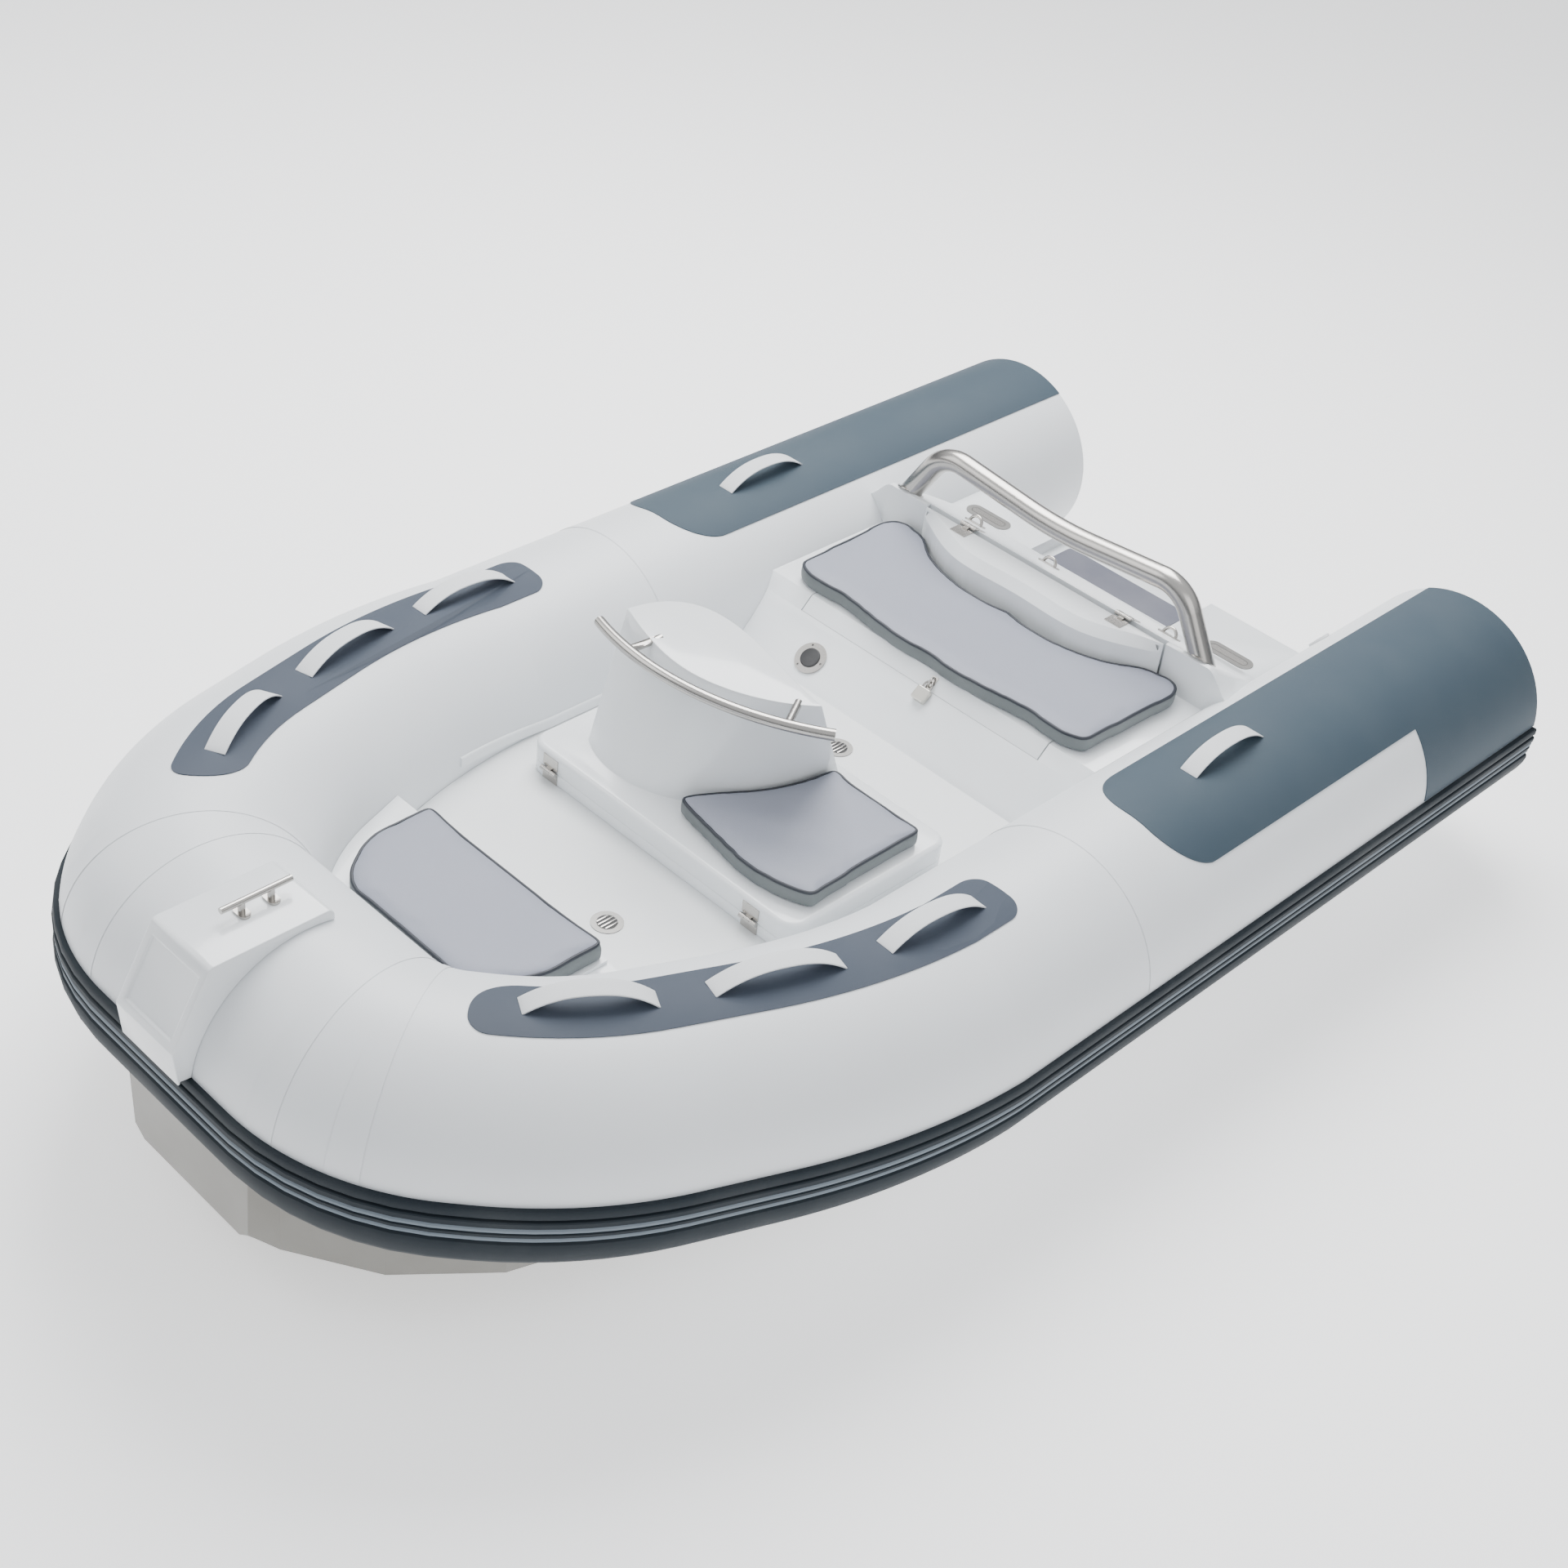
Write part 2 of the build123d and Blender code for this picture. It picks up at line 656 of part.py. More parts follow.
standoff_r = 8.0
standoff_length = 75.0
standoff_shares = (0.19, 0.84)    # where they stand along the rail
with BuildPart() as grab_rail:
    with BuildLine(Plane.XY.offset(rail_z)) as rail_path:
        ThreePointArc((-277, -293), (-9, -306), (236, -195))
    with BuildSketch(Plane(origin=rail_path.line @ 0, z_dir=rail_path.line % 0)):
        Circle(rail_r)
    sweep(path=rail_path.wires()[0])
    for share in standoff_shares:
        inward = (rail_path.line % share).rotate(Axis.Z, 90)
        with BuildSketch(Plane(origin=rail_path.line @ share, z_dir=inward)):
            Circle(standoff_r)
        extrude(amount=standoff_length)
    add(pod_outside, mode=Mode.SUBTRACT)
    add(pod_inside, mode=Mode.SUBTRACT)
write("grab_rail", grab_rail.part)

leaf_thick = 2.0
leaf_end = 30.0             # how far a hinge leaf reaches from its pin
console_hinge_x = 270.0
console_pin_y = module_y[0] - knuckle_r - 1.0
console_pin_z = module_seam_z
with BuildPart() as console_hinge_base:
    for x in (-console_hinge_x, console_hinge_x):
        add(barrels(hinge_width, (x, console_pin_y, console_pin_z), False))
        add(block((x - hinge_width / 2, x + hinge_width / 2), (module_y[0] - leaf_thick, module_y[0]),
                  (sole_z + 1, console_pin_z - knuckle_r - 1)))
        for offset in (-third, third):
            add(block((x + offset - third / 2, x + offset + third / 2), (console_pin_y, module_y[0]),
                      (console_pin_z - knuckle_r - 2, console_pin_z - pin_r)))
with BuildPart() as console_hinge_leaf:
    for x in (-console_hinge_x, console_hinge_x):
        add(barrels(hinge_width, (x, console_pin_y, console_pin_z), True))
        add(block((x - hinge_width / 2, x + hinge_width / 2), (module_y[0] - leaf_thick, module_y[0]),
                  (console_pin_z + knuckle_r + 1, console_pin_z + leaf_end)))
        add(block((x - third / 2 + gap, x + third / 2 - gap), (console_pin_y, module_y[0]),
                  (console_pin_z + pin_r + 0.6, console_pin_z + knuckle_r + 2)))
write("console_hinge_leaf", console_hinge_leaf.part)


# ---- stern seat: ramp and fixed ends, a hinged lid with the middle of the backrest, a cushion ----
def ribbon(points, thickness):
    """Closed outline of a plate that follows y, z points, its thickness to the right of their way."""
    normals = []
    for (y0, z0), (y1, z1) in zip(points, points[1:]):
        length = sqrt((y1 - y0) ** 2 + (z1 - z0) ** 2)
        normals.append(((z1 - z0) / length, -(y1 - y0) / length))
    shifted = []
    for index, (y, z) in enumerate(points):
        before = normals[max(index - 1, 0)]
        after = normals[min(index, len(normals) - 1)]
        share = thickness / (1 + before[0] * after[0] + before[1] * after[1])
        shifted.append((y + (before[0] + after[0]) * share, z + (before[1] + after[1]) * share))
    return [*points, *reversed(shifted), points[0]]


def across_boat(outline, x_from, x_to):
    """Extrude a closed y, z outline from one x to another."""
    with BuildPart() as body:
        with BuildSketch(Plane.YZ.offset(x_from)):
            with BuildLine():
                Polyline(*outline)
            make_face()
        extrude(amount=x_to - x_from)
    return body.part


lid_back_y = seat_hinge_y - 7.0
roll_edge = 20.0            # how far the backrest's front edge leans back at its top


def roll_outline(back, inset=0.0):
    """Plan of the backrest's middle: its bulging front moved aft, and its straight back."""
    half = seat_half - inset
    front = [(0, roll_front_y), (180, roll_front_y + 3), (265, 648), (half, lid_back_y - 6)]
    front = [(x, min(y + back + inset, lid_back_y - inset - 3)) for x, y in front]
    with BuildSketch() as outline:
        with BuildLine():
            Spline(*[(-x, y) for x, y in reversed(front[1:])], *front)
            Polyline(front[-1], (half, lid_back_y - inset), (-half, lid_back_y - inset), (-half, front[-1][1]))
        make_face()
    return outline.sketch


def roll_body(inset=0.0):
    """Backrest's middle: upright below, leaning back in its top part; an inset makes its hollow."""
    low_z = seat_z - wall
    knee_z = roll_top_z - roll_edge
    with BuildPart() as body:
        with BuildSketch(Plane.XY.offset(low_z)):
            add(roll_outline(0.0, inset))
        extrude(amount=knee_z - inset - low_z)
        with BuildSketch(Plane.XY.offset(knee_z - inset)):
            add(roll_outline(0.0, inset))
        with BuildSketch(Plane.XY.offset(roll_top_z - inset)):
            add(roll_outline(roll_edge, inset))
        loft(ruled=True)
    return body.part


lid_points = [(seam_front[0] + gap, seam_front[1] + gap), seat_front, (lid_back_y, seat_z)]
with BuildPart() as stern_seat_lid:
    add(across_boat(ribbon(lid_points, wall), -seat_half, seat_half))
    add(roll_body())
    add(roll_body(wall), mode=Mode.SUBTRACT)
write("stern_seat_lid", stern_seat_lid.part)

full_half = 560.0
end_half = seat_half + 3.0
end_front_y = seat_hinge_y - 4.0
slope_top = (seat_hinge_y + 6.0, roll_top_z + 2.0)
slope_foot_y = 908.0
ledge_z = seat_z - gap
end_points = [seam_front, (seat_front[0], ledge_z), (end_front_y, ledge_z), (end_front_y, roll_top_z), slope_top]
deck_points = [(slope_top[0], sole_z), slope_top, (slope_foot_y, deck_z), (transom_y, deck_z), (transom_y, sole_z)]
cleat_slot = (106.0, 30.0)
with BuildPart() as stern_moulding:
    add(across_boat(ribbon([(ramp_foot_y, sole_z), seam_front], wall), -full_half, full_half))
    for x_from, x_to in ((-full_half, -end_half), (end_half, full_half)):
        add(across_boat(ribbon(end_points, wall), x_from, x_to))
    add(across_boat(ribbon(deck_points, wall), -full_half, full_half))
    add(block((-well_half, well_half), (well_y[0], transom_y + 1), (well_z, roll_top_z)), mode=Mode.SUBTRACT)
    add(block((-well_half - wall, well_half + wall), (well_y[0] - wall, transom_y), (well_z - wall, well_z)))
    for x in (-well_half - wall, well_half):
        add(block((x, x + wall), (well_y[0] - wall, transom_y), (well_z, deck_z)))
    add(block((-well_half, well_half), (well_y[0] - wall, well_y[0]), (well_z, deck_z)))
    for x in (-cleat_x, cleat_x):
        with BuildSketch(Plane.XY.offset(deck_z - 2 * wall)):
            with Locations((x, cleat_y)):
                SlotOverall(*cleat_slot)
        extrude(amount=4 * wall, mode=Mode.SUBTRACT)
    with BuildSketch(Plane.XY.offset(sole_z - 60)):
        Rectangle(1400, 2400)
    extrude(amount=60, mode=Mode.SUBTRACT)
    trim()
    trim([stern_patch.part, flipped(stern_patch.part)])
write("stern_moulding", stern_moulding.part)

cushion_clear = 3.0
with BuildPart() as stern_cushion:
    with BuildSketch(Plane.XY.offset(seat_z)):
        with BuildLine():
            front = Spline((0, 338), (170, 341), (265, 352), (345, 349), (seat_cushion_x - 12, 372))
            edge = Line(front @ 1, (seat_cushion_x, 640))
            corner = Spline(edge @ 1, (388, 676), (345, 683 - cushion_clear))
            Spline(corner @ 1, (310, 676 - cushion_clear), (262, 644 - cushion_clear), (180, 608 - cushion_clear),
                   (0, roll_front_y - cushion_clear))
            mirror(about=Plane.YZ)
        make_face()
    extrude(amount=cushion_thick)
    add(roll_body(), mode=Mode.SUBTRACT)
write("stern_cushion", stern_cushion.part)

slope_drop = atan2(slope_top[1] - deck_z, slope_foot_y - slope_top[0])


def on_slope(x, y):
    """Plane lying on the sloping stern deck, its x along X and its y down the slope."""
    z = slope_top[1] - (y - slope_top[0]) * (slope_top[1] - deck_z) / (slope_foot_y - slope_top[0])
    return Plane(origin=(x, y, z), x_dir=(1, 0, 0), z_dir=(0, sin(slope_drop), cos(slope_drop)))


seat_hinge_x = 210.0
seat_pin_z = roll_top_z + knuckle_r
with BuildPart() as seat_hinge_base:
    for x in (-seat_hinge_x, seat_hinge_x):
        add(barrels(hinge_width, (x, seat_hinge_y, seat_pin_z), False))
        with BuildSketch(on_slope(x, slope_top[0] + leaf_end / 2 + 3)):
            Rectangle(hinge_width, leaf_end)
        extrude(amount=leaf_thick)
        for offset in (-third, third):
            add(block((x + offset - third / 2, x + offset + third / 2), (seat_hinge_y + 3, slope_top[0] + 5),
                      (seat_pin_z - 3, seat_pin_z)))
    add(stern_moulding.part, mode=Mode.SUBTRACT)
with BuildPart() as stern_hinge_leaf:
    for x in (-seat_hinge_x, seat_hinge_x):
        add(barrels(hinge_width, (x, seat_hinge_y, seat_pin_z), True))
        add(block((x - hinge_width / 2, x + hinge_width / 2), (lid_back_y - leaf_end, lid_back_y - 1),
                  (roll_top_z, roll_top_z + leaf_thick)))
        add(block((x - third / 2 + gap, x + third / 2 - gap), (lid_back_y - 5, seat_hinge_y - pin_r - 0.6),
                  (roll_top_z, seat_pin_z)))
write("stern_hinge_leaf", stern_hinge_leaf.part)

with BuildPart() as hinge_bases:
    add(bow_hinge_base.part)
    add(console_hinge_base.part)
    add(seat_hinge_base.part)
write("hinge_bases", hinge_bases.part)

# ---- fittings on the seat's ramp ----
ramp_rise = atan2(seam_front[1] - sole_z, seam_front[0] - ramp_foot_y)


def on_ramp(x, y):
    """Plane lying on the ramp, its x along X and its y up the slope."""
    z = sole_z + (y - ramp_foot_y) * (seam_front[1] - sole_z) / (seam_front[0] - ramp_foot_y)
    return Plane(origin=(x, y, z), x_dir=(1, 0, 0), z_dir=(0, -sin(ramp_rise), cos(ramp_rise)))


flange_plane = on_ramp(-228.0, 262.0)
with BuildPart() as cable_flange:
    with BuildSketch(flange_plane):
        Circle(35)
        Circle(22, mode=Mode.SUBTRACT)
        with PolarLocations(29, 3):
            Circle(2.5, mode=Mode.SUBTRACT)
    extrude(amount=4)
write("cable_flange", cable_flange.part)
with BuildPart() as cable_boot:
    with BuildSketch(flange_plane):
        Circle(22)
    extrude(amount=7)
    fillet(cable_boot.faces().sort_by(Axis((0, 0, 0), flange_plane.z_dir))[-1].edges(), radius=3)
write("cable_boot", cable_boot.part)

# a padlock through an eye on the lid's front, lying just clear of the ramp
lock_x = 33.0
skirt_dir = Vector(0, seat_front[0] - seam_front[0], seat_front[1] - seam_front[1]).normalized()
skirt_normal = Vector(0, -skirt_dir.Z, skirt_dir.Y)
eye_foot = Vector(lock_x, *seam_front) + skirt_dir * 17
eye_r = 10.5
eye_wire = 2.2
with BuildPart() as padlock_eye:
    with BuildSketch(Plane(origin=eye_foot, x_dir=(1, 0, 0), z_dir=skirt_normal)):
        RectangleRounded(16, 30, 3)
    extrude(amount=1.5)
    with BuildLine(Plane(origin=eye_foot, x_dir=skirt_dir, z_dir=(1, 0, 0))) as eye_path:
        CenterArc((0, 1), eye_r, 0, 180)
    with BuildSketch(Plane(origin=eye_path.line @ 0, z_dir=eye_path.line % 0)):
        Circle(eye_wire)
    sweep(path=eye_path.wires()[0])
write("padlock_eye", padlock_eye.part)

# the padlock's shackle runs sideways through the eye, and its body hangs down the ramp
down_ramp = Vector(0, -cos(ramp_rise), -sin(ramp_rise))
ramp_normal = Vector(0, -sin(ramp_rise), cos(ramp_rise))
shackle_top = eye_foot + skirt_normal * 6.0
shackle_r = 9.0
shackle_wire = 2.0
shackle_leg = 8.0
lock_width, lock_length, lock_thick = 32.0, 30.0, 12.0
shackle_plane = Plane(origin=shackle_top + down_ramp * shackle_r, x_dir=(1, 0, 0), z_dir=ramp_normal)
lock_plane = Plane(origin=shackle_top + down_ramp * (shackle_r + shackle_leg + lock_length / 2),
                   x_dir=(1, 0, 0), z_dir=ramp_normal)
with BuildPart() as padlock_body:
    with BuildSketch(lock_plane):
        RectangleRounded(lock_width, lock_length, 4)
    extrude(amount=lock_thick / 2, both=True)
    fillet(padlock_body.faces().group_by(Axis((0, 0, 0), ramp_normal))[-1].edges(), radius=2)
write("padlock_body", padlock_body.part)
with BuildPart() as padlock_shackle:
    with BuildLine(shackle_plane) as shackle_path:
        Line((-shackle_r, -shackle_leg), (-shackle_r, 0))
        ThreePointArc((-shackle_r, 0), (0, shackle_r), (shackle_r, 0))
        Line((shackle_r, 0), (shackle_r, -shackle_leg))
    with BuildSketch(Plane(origin=shackle_path.line @ 0, z_dir=shackle_path.line % 0)):
        Circle(shackle_wire)
    sweep(path=shackle_path.wires()[0])
write("padlock_shackle", padlock_shackle.part)

# ---- stern rail, welded to two thin foot rings ----
foot_z = on_slope(arch_foot_x, arch_y).origin.Z
rail_bend = 85.0
rail_crown_bend = 900.0
flange_r, flange_thick = arch_r + 7, 2.0
with BuildPart() as stern_rail:
    with BuildLine(Plane.XZ.offset(-arch_y)) as arch_path:
        foot = (arch_foot_x + 12, foot_z - 20)
        FilletPolyline(foot, arch_corner, (0, arch_mid_z), (-arch_corner[0], arch_corner[1]), (-foot[0], foot[1]),
                       radius=[rail_bend, rail_crown_bend, rail_bend])
    with BuildSketch(Plane(origin=arch_path.line @ 0, z_dir=arch_path.line % 0)):
        Circle(arch_r)
    sweep(path=arch_path.wires()[0])
    for x in (-arch_foot_x, arch_foot_x):
        with BuildSketch(on_slope(x, arch_y)):
            Rectangle(300, 200)
        extrude(amount=-80, mode=Mode.SUBTRACT)
write("stern_rail", stern_rail.part)
with BuildPart() as rail_flanges:
    for x in (-arch_foot_x, arch_foot_x):
        with BuildSketch(on_slope(x, arch_y)):
            Circle(flange_r)
        extrude(amount=flange_thick)
    add(stern_rail.part, mode=Mode.SUBTRACT)
write("rail_flanges", rail_flanges.part)

# ---- pop-up cleats, flush in the stern deck when down ----
cup_size = (100.0, 26.0)
cup_depth = 46.0
bar_size = (92.0, 18.0)
bar_thick = 8.0
leg_r = 6.0
leg_spread = 44.0
leg_play = 0.05
cup_rim = 2.0
with BuildPart() as cleat_cups:
    for x in (-cleat_x, cleat_x):
        for size, z_from, z_to, mode in ((cup_size, deck_z - cup_depth, deck_z, Mode.ADD),
                                         ((118, 42), deck_z, deck_z + cup_rim, Mode.ADD),
                                         ((bar_size[0] + 2, bar_size[1] + 2), deck_z + cup_rim - bar_thick - 1,
                                          deck_z + cup_rim, Mode.SUBTRACT)):
            with BuildSketch(Plane.XY.offset(z_from)):
                with Locations((x, cleat_y)):
                    SlotOverall(*size)
            extrude(amount=z_to - z_from, mode=mode)
        with BuildSketch(Plane.XY.offset(deck_z - cup_depth)):
            with Locations((x - leg_spread / 2, cleat_y), (x + leg_spread / 2, cleat_y)):
                Circle(leg_r + leg_play)
        extrude(amount=cup_depth, mode=Mode.SUBTRACT)
write("cleat_cups", cleat_cups.part)
with BuildPart() as cleat_post:
    with BuildSketch(Plane.XY.offset(deck_z + cup_rim - bar_thick)):
        with Locations((cleat_x, cleat_y)):
            SlotOverall(*bar_size)
    extrude(amount=bar_thick)
    with BuildSketch(Plane.XY.offset(deck_z - cup_depth + 2)):
        with Locations((cleat_x - leg_spread / 2, cleat_y), (cleat_x + leg_spread / 2, cleat_y)):
            Circle(leg_r)
    extrude(amount=cup_depth + cup_rim - bar_thick)
pair("cleat_post", cleat_post.part)

# ---- lashing eyes on the slope ----
lash_y = 792.0
lash_x = (-266.0, 266.0)
lash_mid = (-73.0, 815.0)
lash_r = 16.0
lash_wire = 3.5
with BuildPart() as lashing_eyes:
    for x, y in (*((x, lash_y) for x in lash_x), lash_mid):
        plate = on_slope(x, y)
        with BuildSketch(plate):
            SlotOverall(56, 20)
        extrude(amount=3)
        with BuildLine(Plane(origin=plate.origin, x_dir=(1, 0, 0), z_dir=plate.y_dir * -1)) as eye_arch:
            CenterArc((0, 1), lash_r, 0, 180)
        with BuildSketch(Plane(origin=eye_arch.line @ 0, z_dir=eye_arch.line % 0)):
            Circle(lash_wire)
        sweep(path=eye_arch.wires()[0])
    add(stern_moulding.part, mode=Mode.SUBTRACT)
write("lashing_eyes", lashing_eyes.part)

# ---- motor well panel, transom pad, drain covers, inflation valves ----
panel_thick = 3.0
panel_margin = 24.0
with BuildPart() as well_panel:
    with BuildSketch(Plane.XY.offset(well_z)):
        with Locations((0, (well_y[0] + well_y[1]) / 2)):
            RectangleRounded(2 * (well_half - panel_margin), well_y[1] - well_y[0] - panel_margin, 12)
    extrude(amount=panel_thick)
write("well_panel", well_panel.part)

pad_half = 150.0
pad_low_z = 210.0
transom_pad_thick = 18.0
with BuildPart() as transom_pad:
    add(block((-pad_half, pad_half), (transom_y, transom_y + transom_pad_thick), (pad_low_z, well_z)))
    fillet(transom_pad.edges().filter_by(Axis.Y), radius=15)
write("transom_pad", transom_pad.part)

drain_r = 30.0
with BuildPart() as drain_covers:
    with BuildSketch(Plane.XY.offset(sole_z)):
        with Locations((-10, 122), (102, -585)):
            Circle(drain_r)
    extrude(amount=1.5)
write("drain_covers", drain_covers.part)

valve_r = 24.0
valve_out = 5.0
valve_places = [(1, 2660.0, -55.0), (-1, 1500.0, 68.0), (1, 130.0, -72.0)]


def on_tube(side, s, phi):
    """Plane touching the tube at a distance s along it, its z standing out of the tube."""
    point, heading = on_axis(s)
    up = Vector(0, 0, 1) if s > sum(run_length(index) for index in range(len(runs))) else forward_plane.z_dir
    ahead = Vector(cos(radians(heading)), sin(radians(heading)), 0)
    outboard = ahead.cross(up).normalized()
    normal = up * cos(radians(phi)) + outboard * sin(radians(phi))
    flip = Vector(side, 1, 1)
    point = point + normal * tube_r
    return Plane(origin=(point.X * flip.X, point.Y, point.Z), z_dir=(normal.X * flip.X, normal.Y, normal.Z))


with BuildPart() as inflation_valves:
    for side, s, phi in valve_places:
        with BuildSketch(on_tube(side, s, phi)):
            Circle(valve_r)
        extrude(amount=valve_out)
        with BuildSketch(on_tube(side, s, phi)):
            Circle(valve_r)
        extrude(amount=-3)
    trim()
write("inflation_valves", inflation_valves.part)
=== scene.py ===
import bmesh
import bpy
import json
from math import cos, pi, radians, sin, sqrt
from mathutils import Matrix, Vector


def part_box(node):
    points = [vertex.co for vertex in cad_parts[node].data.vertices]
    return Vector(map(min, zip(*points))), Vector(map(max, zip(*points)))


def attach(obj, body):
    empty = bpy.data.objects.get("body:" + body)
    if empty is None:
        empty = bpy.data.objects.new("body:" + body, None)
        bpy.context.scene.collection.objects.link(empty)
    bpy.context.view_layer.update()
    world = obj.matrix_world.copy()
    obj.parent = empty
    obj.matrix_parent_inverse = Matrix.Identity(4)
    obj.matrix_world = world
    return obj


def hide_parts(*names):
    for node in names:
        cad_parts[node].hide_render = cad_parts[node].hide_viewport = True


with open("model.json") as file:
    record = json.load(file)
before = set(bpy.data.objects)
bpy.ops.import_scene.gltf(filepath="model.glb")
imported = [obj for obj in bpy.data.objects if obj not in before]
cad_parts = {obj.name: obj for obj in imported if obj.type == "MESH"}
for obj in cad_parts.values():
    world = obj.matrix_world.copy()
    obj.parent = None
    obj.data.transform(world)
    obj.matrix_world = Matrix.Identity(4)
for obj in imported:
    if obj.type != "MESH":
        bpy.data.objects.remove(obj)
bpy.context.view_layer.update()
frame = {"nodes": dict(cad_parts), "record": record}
nodes = frame["nodes"]
bodyOf = {name: body for body, names in frame["record"]["behaviour"]["bodies"].items() for name in names}
slotOf = {part["node"]: part["material_slot"] for part in frame["record"]["subparts"]}
materials = {}

# camera and stage
view = {"lens": 53.7, "azimuth": 40.32, "elevation": 37.07, "roll": 7.68, "target": (0, -0.0376, 0.3407),
        "distance": 4.5135}


def makeCamera():
    az, el, roll = (radians(view[key]) for key in ("azimuth", "elevation", "roll"))
    back = Vector((sin(az) * cos(el), -cos(az) * cos(el), sin(el)))
    right = (-back).cross(Vector((0, 0, 1))).normalized()
    up = right.cross(-back)
    turnedRight = right * cos(roll) + up * sin(roll)
    turnedUp = up * cos(roll) - right * sin(roll)
    data = bpy.data.cameras.new("camera")
    data.lens = view["lens"]
    camera = bpy.data.objects.new("camera", data)
    place = Matrix((turnedRight, turnedUp, back)).transposed().to_4x4()
    place.translation = Vector(view["target"]) + back * view["distance"]
    camera.matrix_world = place
    bpy.context.scene.collection.objects.link(camera)
    bpy.context.scene.camera = camera


lamps = {"key": {"at": (-1.6, 1.6, 4.6), "size": 3.5, "watts": 430},
         "fill": {"at": (-3.2, -2.6, 3.0), "size": 3.0, "watts": 60},
         "side": {"at": (3.4, -1.0, 2.6), "size": 3.0, "watts": 40}}


def makeLamps():
    for name, lamp in lamps.items():
        data = bpy.data.lights.new(name, "AREA")
        data.size = lamp["size"]
        data.energy = lamp["watts"]
        light = bpy.data.objects.new(name, data)
        light.location = lamp["at"]
        light.rotation_euler = (Vector((0, 0, 0.3)) - Vector(lamp["at"])).to_track_quat("-Z", "Y").to_euler()
        bpy.context.scene.collection.objects.link(light)
    world = bpy.data.worlds.new("studio")
    world.use_nodes = True
    tree = world.node_tree
    coords = tree.nodes.new("ShaderNodeTexCoord")
    parts = tree.nodes.new("ShaderNodeSeparateXYZ")
    height = tree.nodes.new("ShaderNodeMapRange")  # dark round the horizon, as a studio's walls
    height.inputs["From Min"].default_value = 0.12
    height.inputs["From Max"].default_value = 0.55
    sky = tree.nodes.new("ShaderNodeMix")
    sky.data_type = "RGBA"
    sky.inputs[6].default_value = (0.20, 0.21, 0.23, 1)
    sky.inputs[7].default_value = (0.95, 0.975, 1.0, 1)
    tree.links.new(coords.outputs["Generated"], parts.inputs["Vector"])
    tree.links.new(parts.outputs["Z"], height.inputs["Value"])
    tree.links.new(height.outputs["Result"], sky.inputs[0])
    tree.links.new(sky.outputs[2], tree.nodes["Background"].inputs["Color"])
    tree.nodes["Background"].inputs["Strength"].default_value = 0.95
    bpy.context.scene.world = world


def makeFloor():
    bm = bmesh.new()
    bmesh.ops.create_grid(bm, x_segments=1, y_segments=1, size=14)
    floor = toObject(bm, "floor", "floor")


# shared effects
def newGroup(name, inputs, outputs):
    group = bpy.data.node_groups.new(name, "ShaderNodeTree")
    for label, kind, value in inputs:
        socket = group.interface.new_socket(label, in_out="INPUT", socket_type=kind)
        if value is not None:
            socket.default_value = value
    for label, kind in outputs:
        group.interface.new_socket(label, in_out="OUTPUT", socket_type=kind)
    return group, group.nodes.new("NodeGroupInput"), group.nodes.new("NodeGroupOutput")


def makeGrain():  # fine pebble and broad unevenness, as on coated cloth, leather and moulded plastic
    group, start, end = newGroup("surfaceGrain", [("Vector", "NodeSocketVector", None),
                                                  ("Size", "NodeSocketFloat", 400.0),
                                                  ("Patch Size", "NodeSocketFloat", 3.0)],
                                 [("Height", "NodeSocketFloat"), ("Patches", "NodeSocketFloat")])
    cells = group.nodes.new("ShaderNodeTexVoronoi")
    cells.feature = "SMOOTH_F1"
    noise = group.nodes.new("ShaderNodeTexNoise")
    noise.inputs["Detail"].default_value = 4
    broad = group.nodes.new("ShaderNodeTexNoise")
    broad.inputs["Detail"].default_value = 3
    both = group.nodes.new("ShaderNodeMath")
    both.operation = "MULTIPLY_ADD"
    both.inputs[1].default_value = 0.6
    link = group.links.new
    for texture, size in ((cells, "Size"), (noise, "Size"), (broad, "Patch Size")):
        link(start.outputs["Vector"], texture.inputs["Vector"])
        link(start.outputs[size], texture.inputs["Scale"])
    link(cells.outputs["Distance"], both.inputs[0])
    link(noise.outputs["Fac"], both.inputs[2])
    link(both.outputs[0], end.inputs["Height"])
    link(broad.outputs["Fac"], end.inputs["Patches"])
    return group


def makeWeave():  # crossing threads
    group, start, end = newGroup("threadWeave", [("Vector", "NodeSocketVector", None),
                                                 ("Threads", "NodeSocketFloat", 900.0)],
                                 [("Height", "NodeSocketFloat")])
    high = group.nodes.new("ShaderNodeMath")
    high.operation = "MAXIMUM"
    for direction in ("X", "Y"):
        wave = group.nodes.new("ShaderNodeTexWave")
        wave.bands_direction = direction
        group.links.new(start.outputs["Vector"], wave.inputs["Vector"])
        group.links.new(start.outputs["Threads"], wave.inputs["Scale"])
        group.links.new(wave.outputs["Fac"], high.inputs["XY".index(direction)])
    group.links.new(high.outputs[0], end.inputs["Height"])
    return group


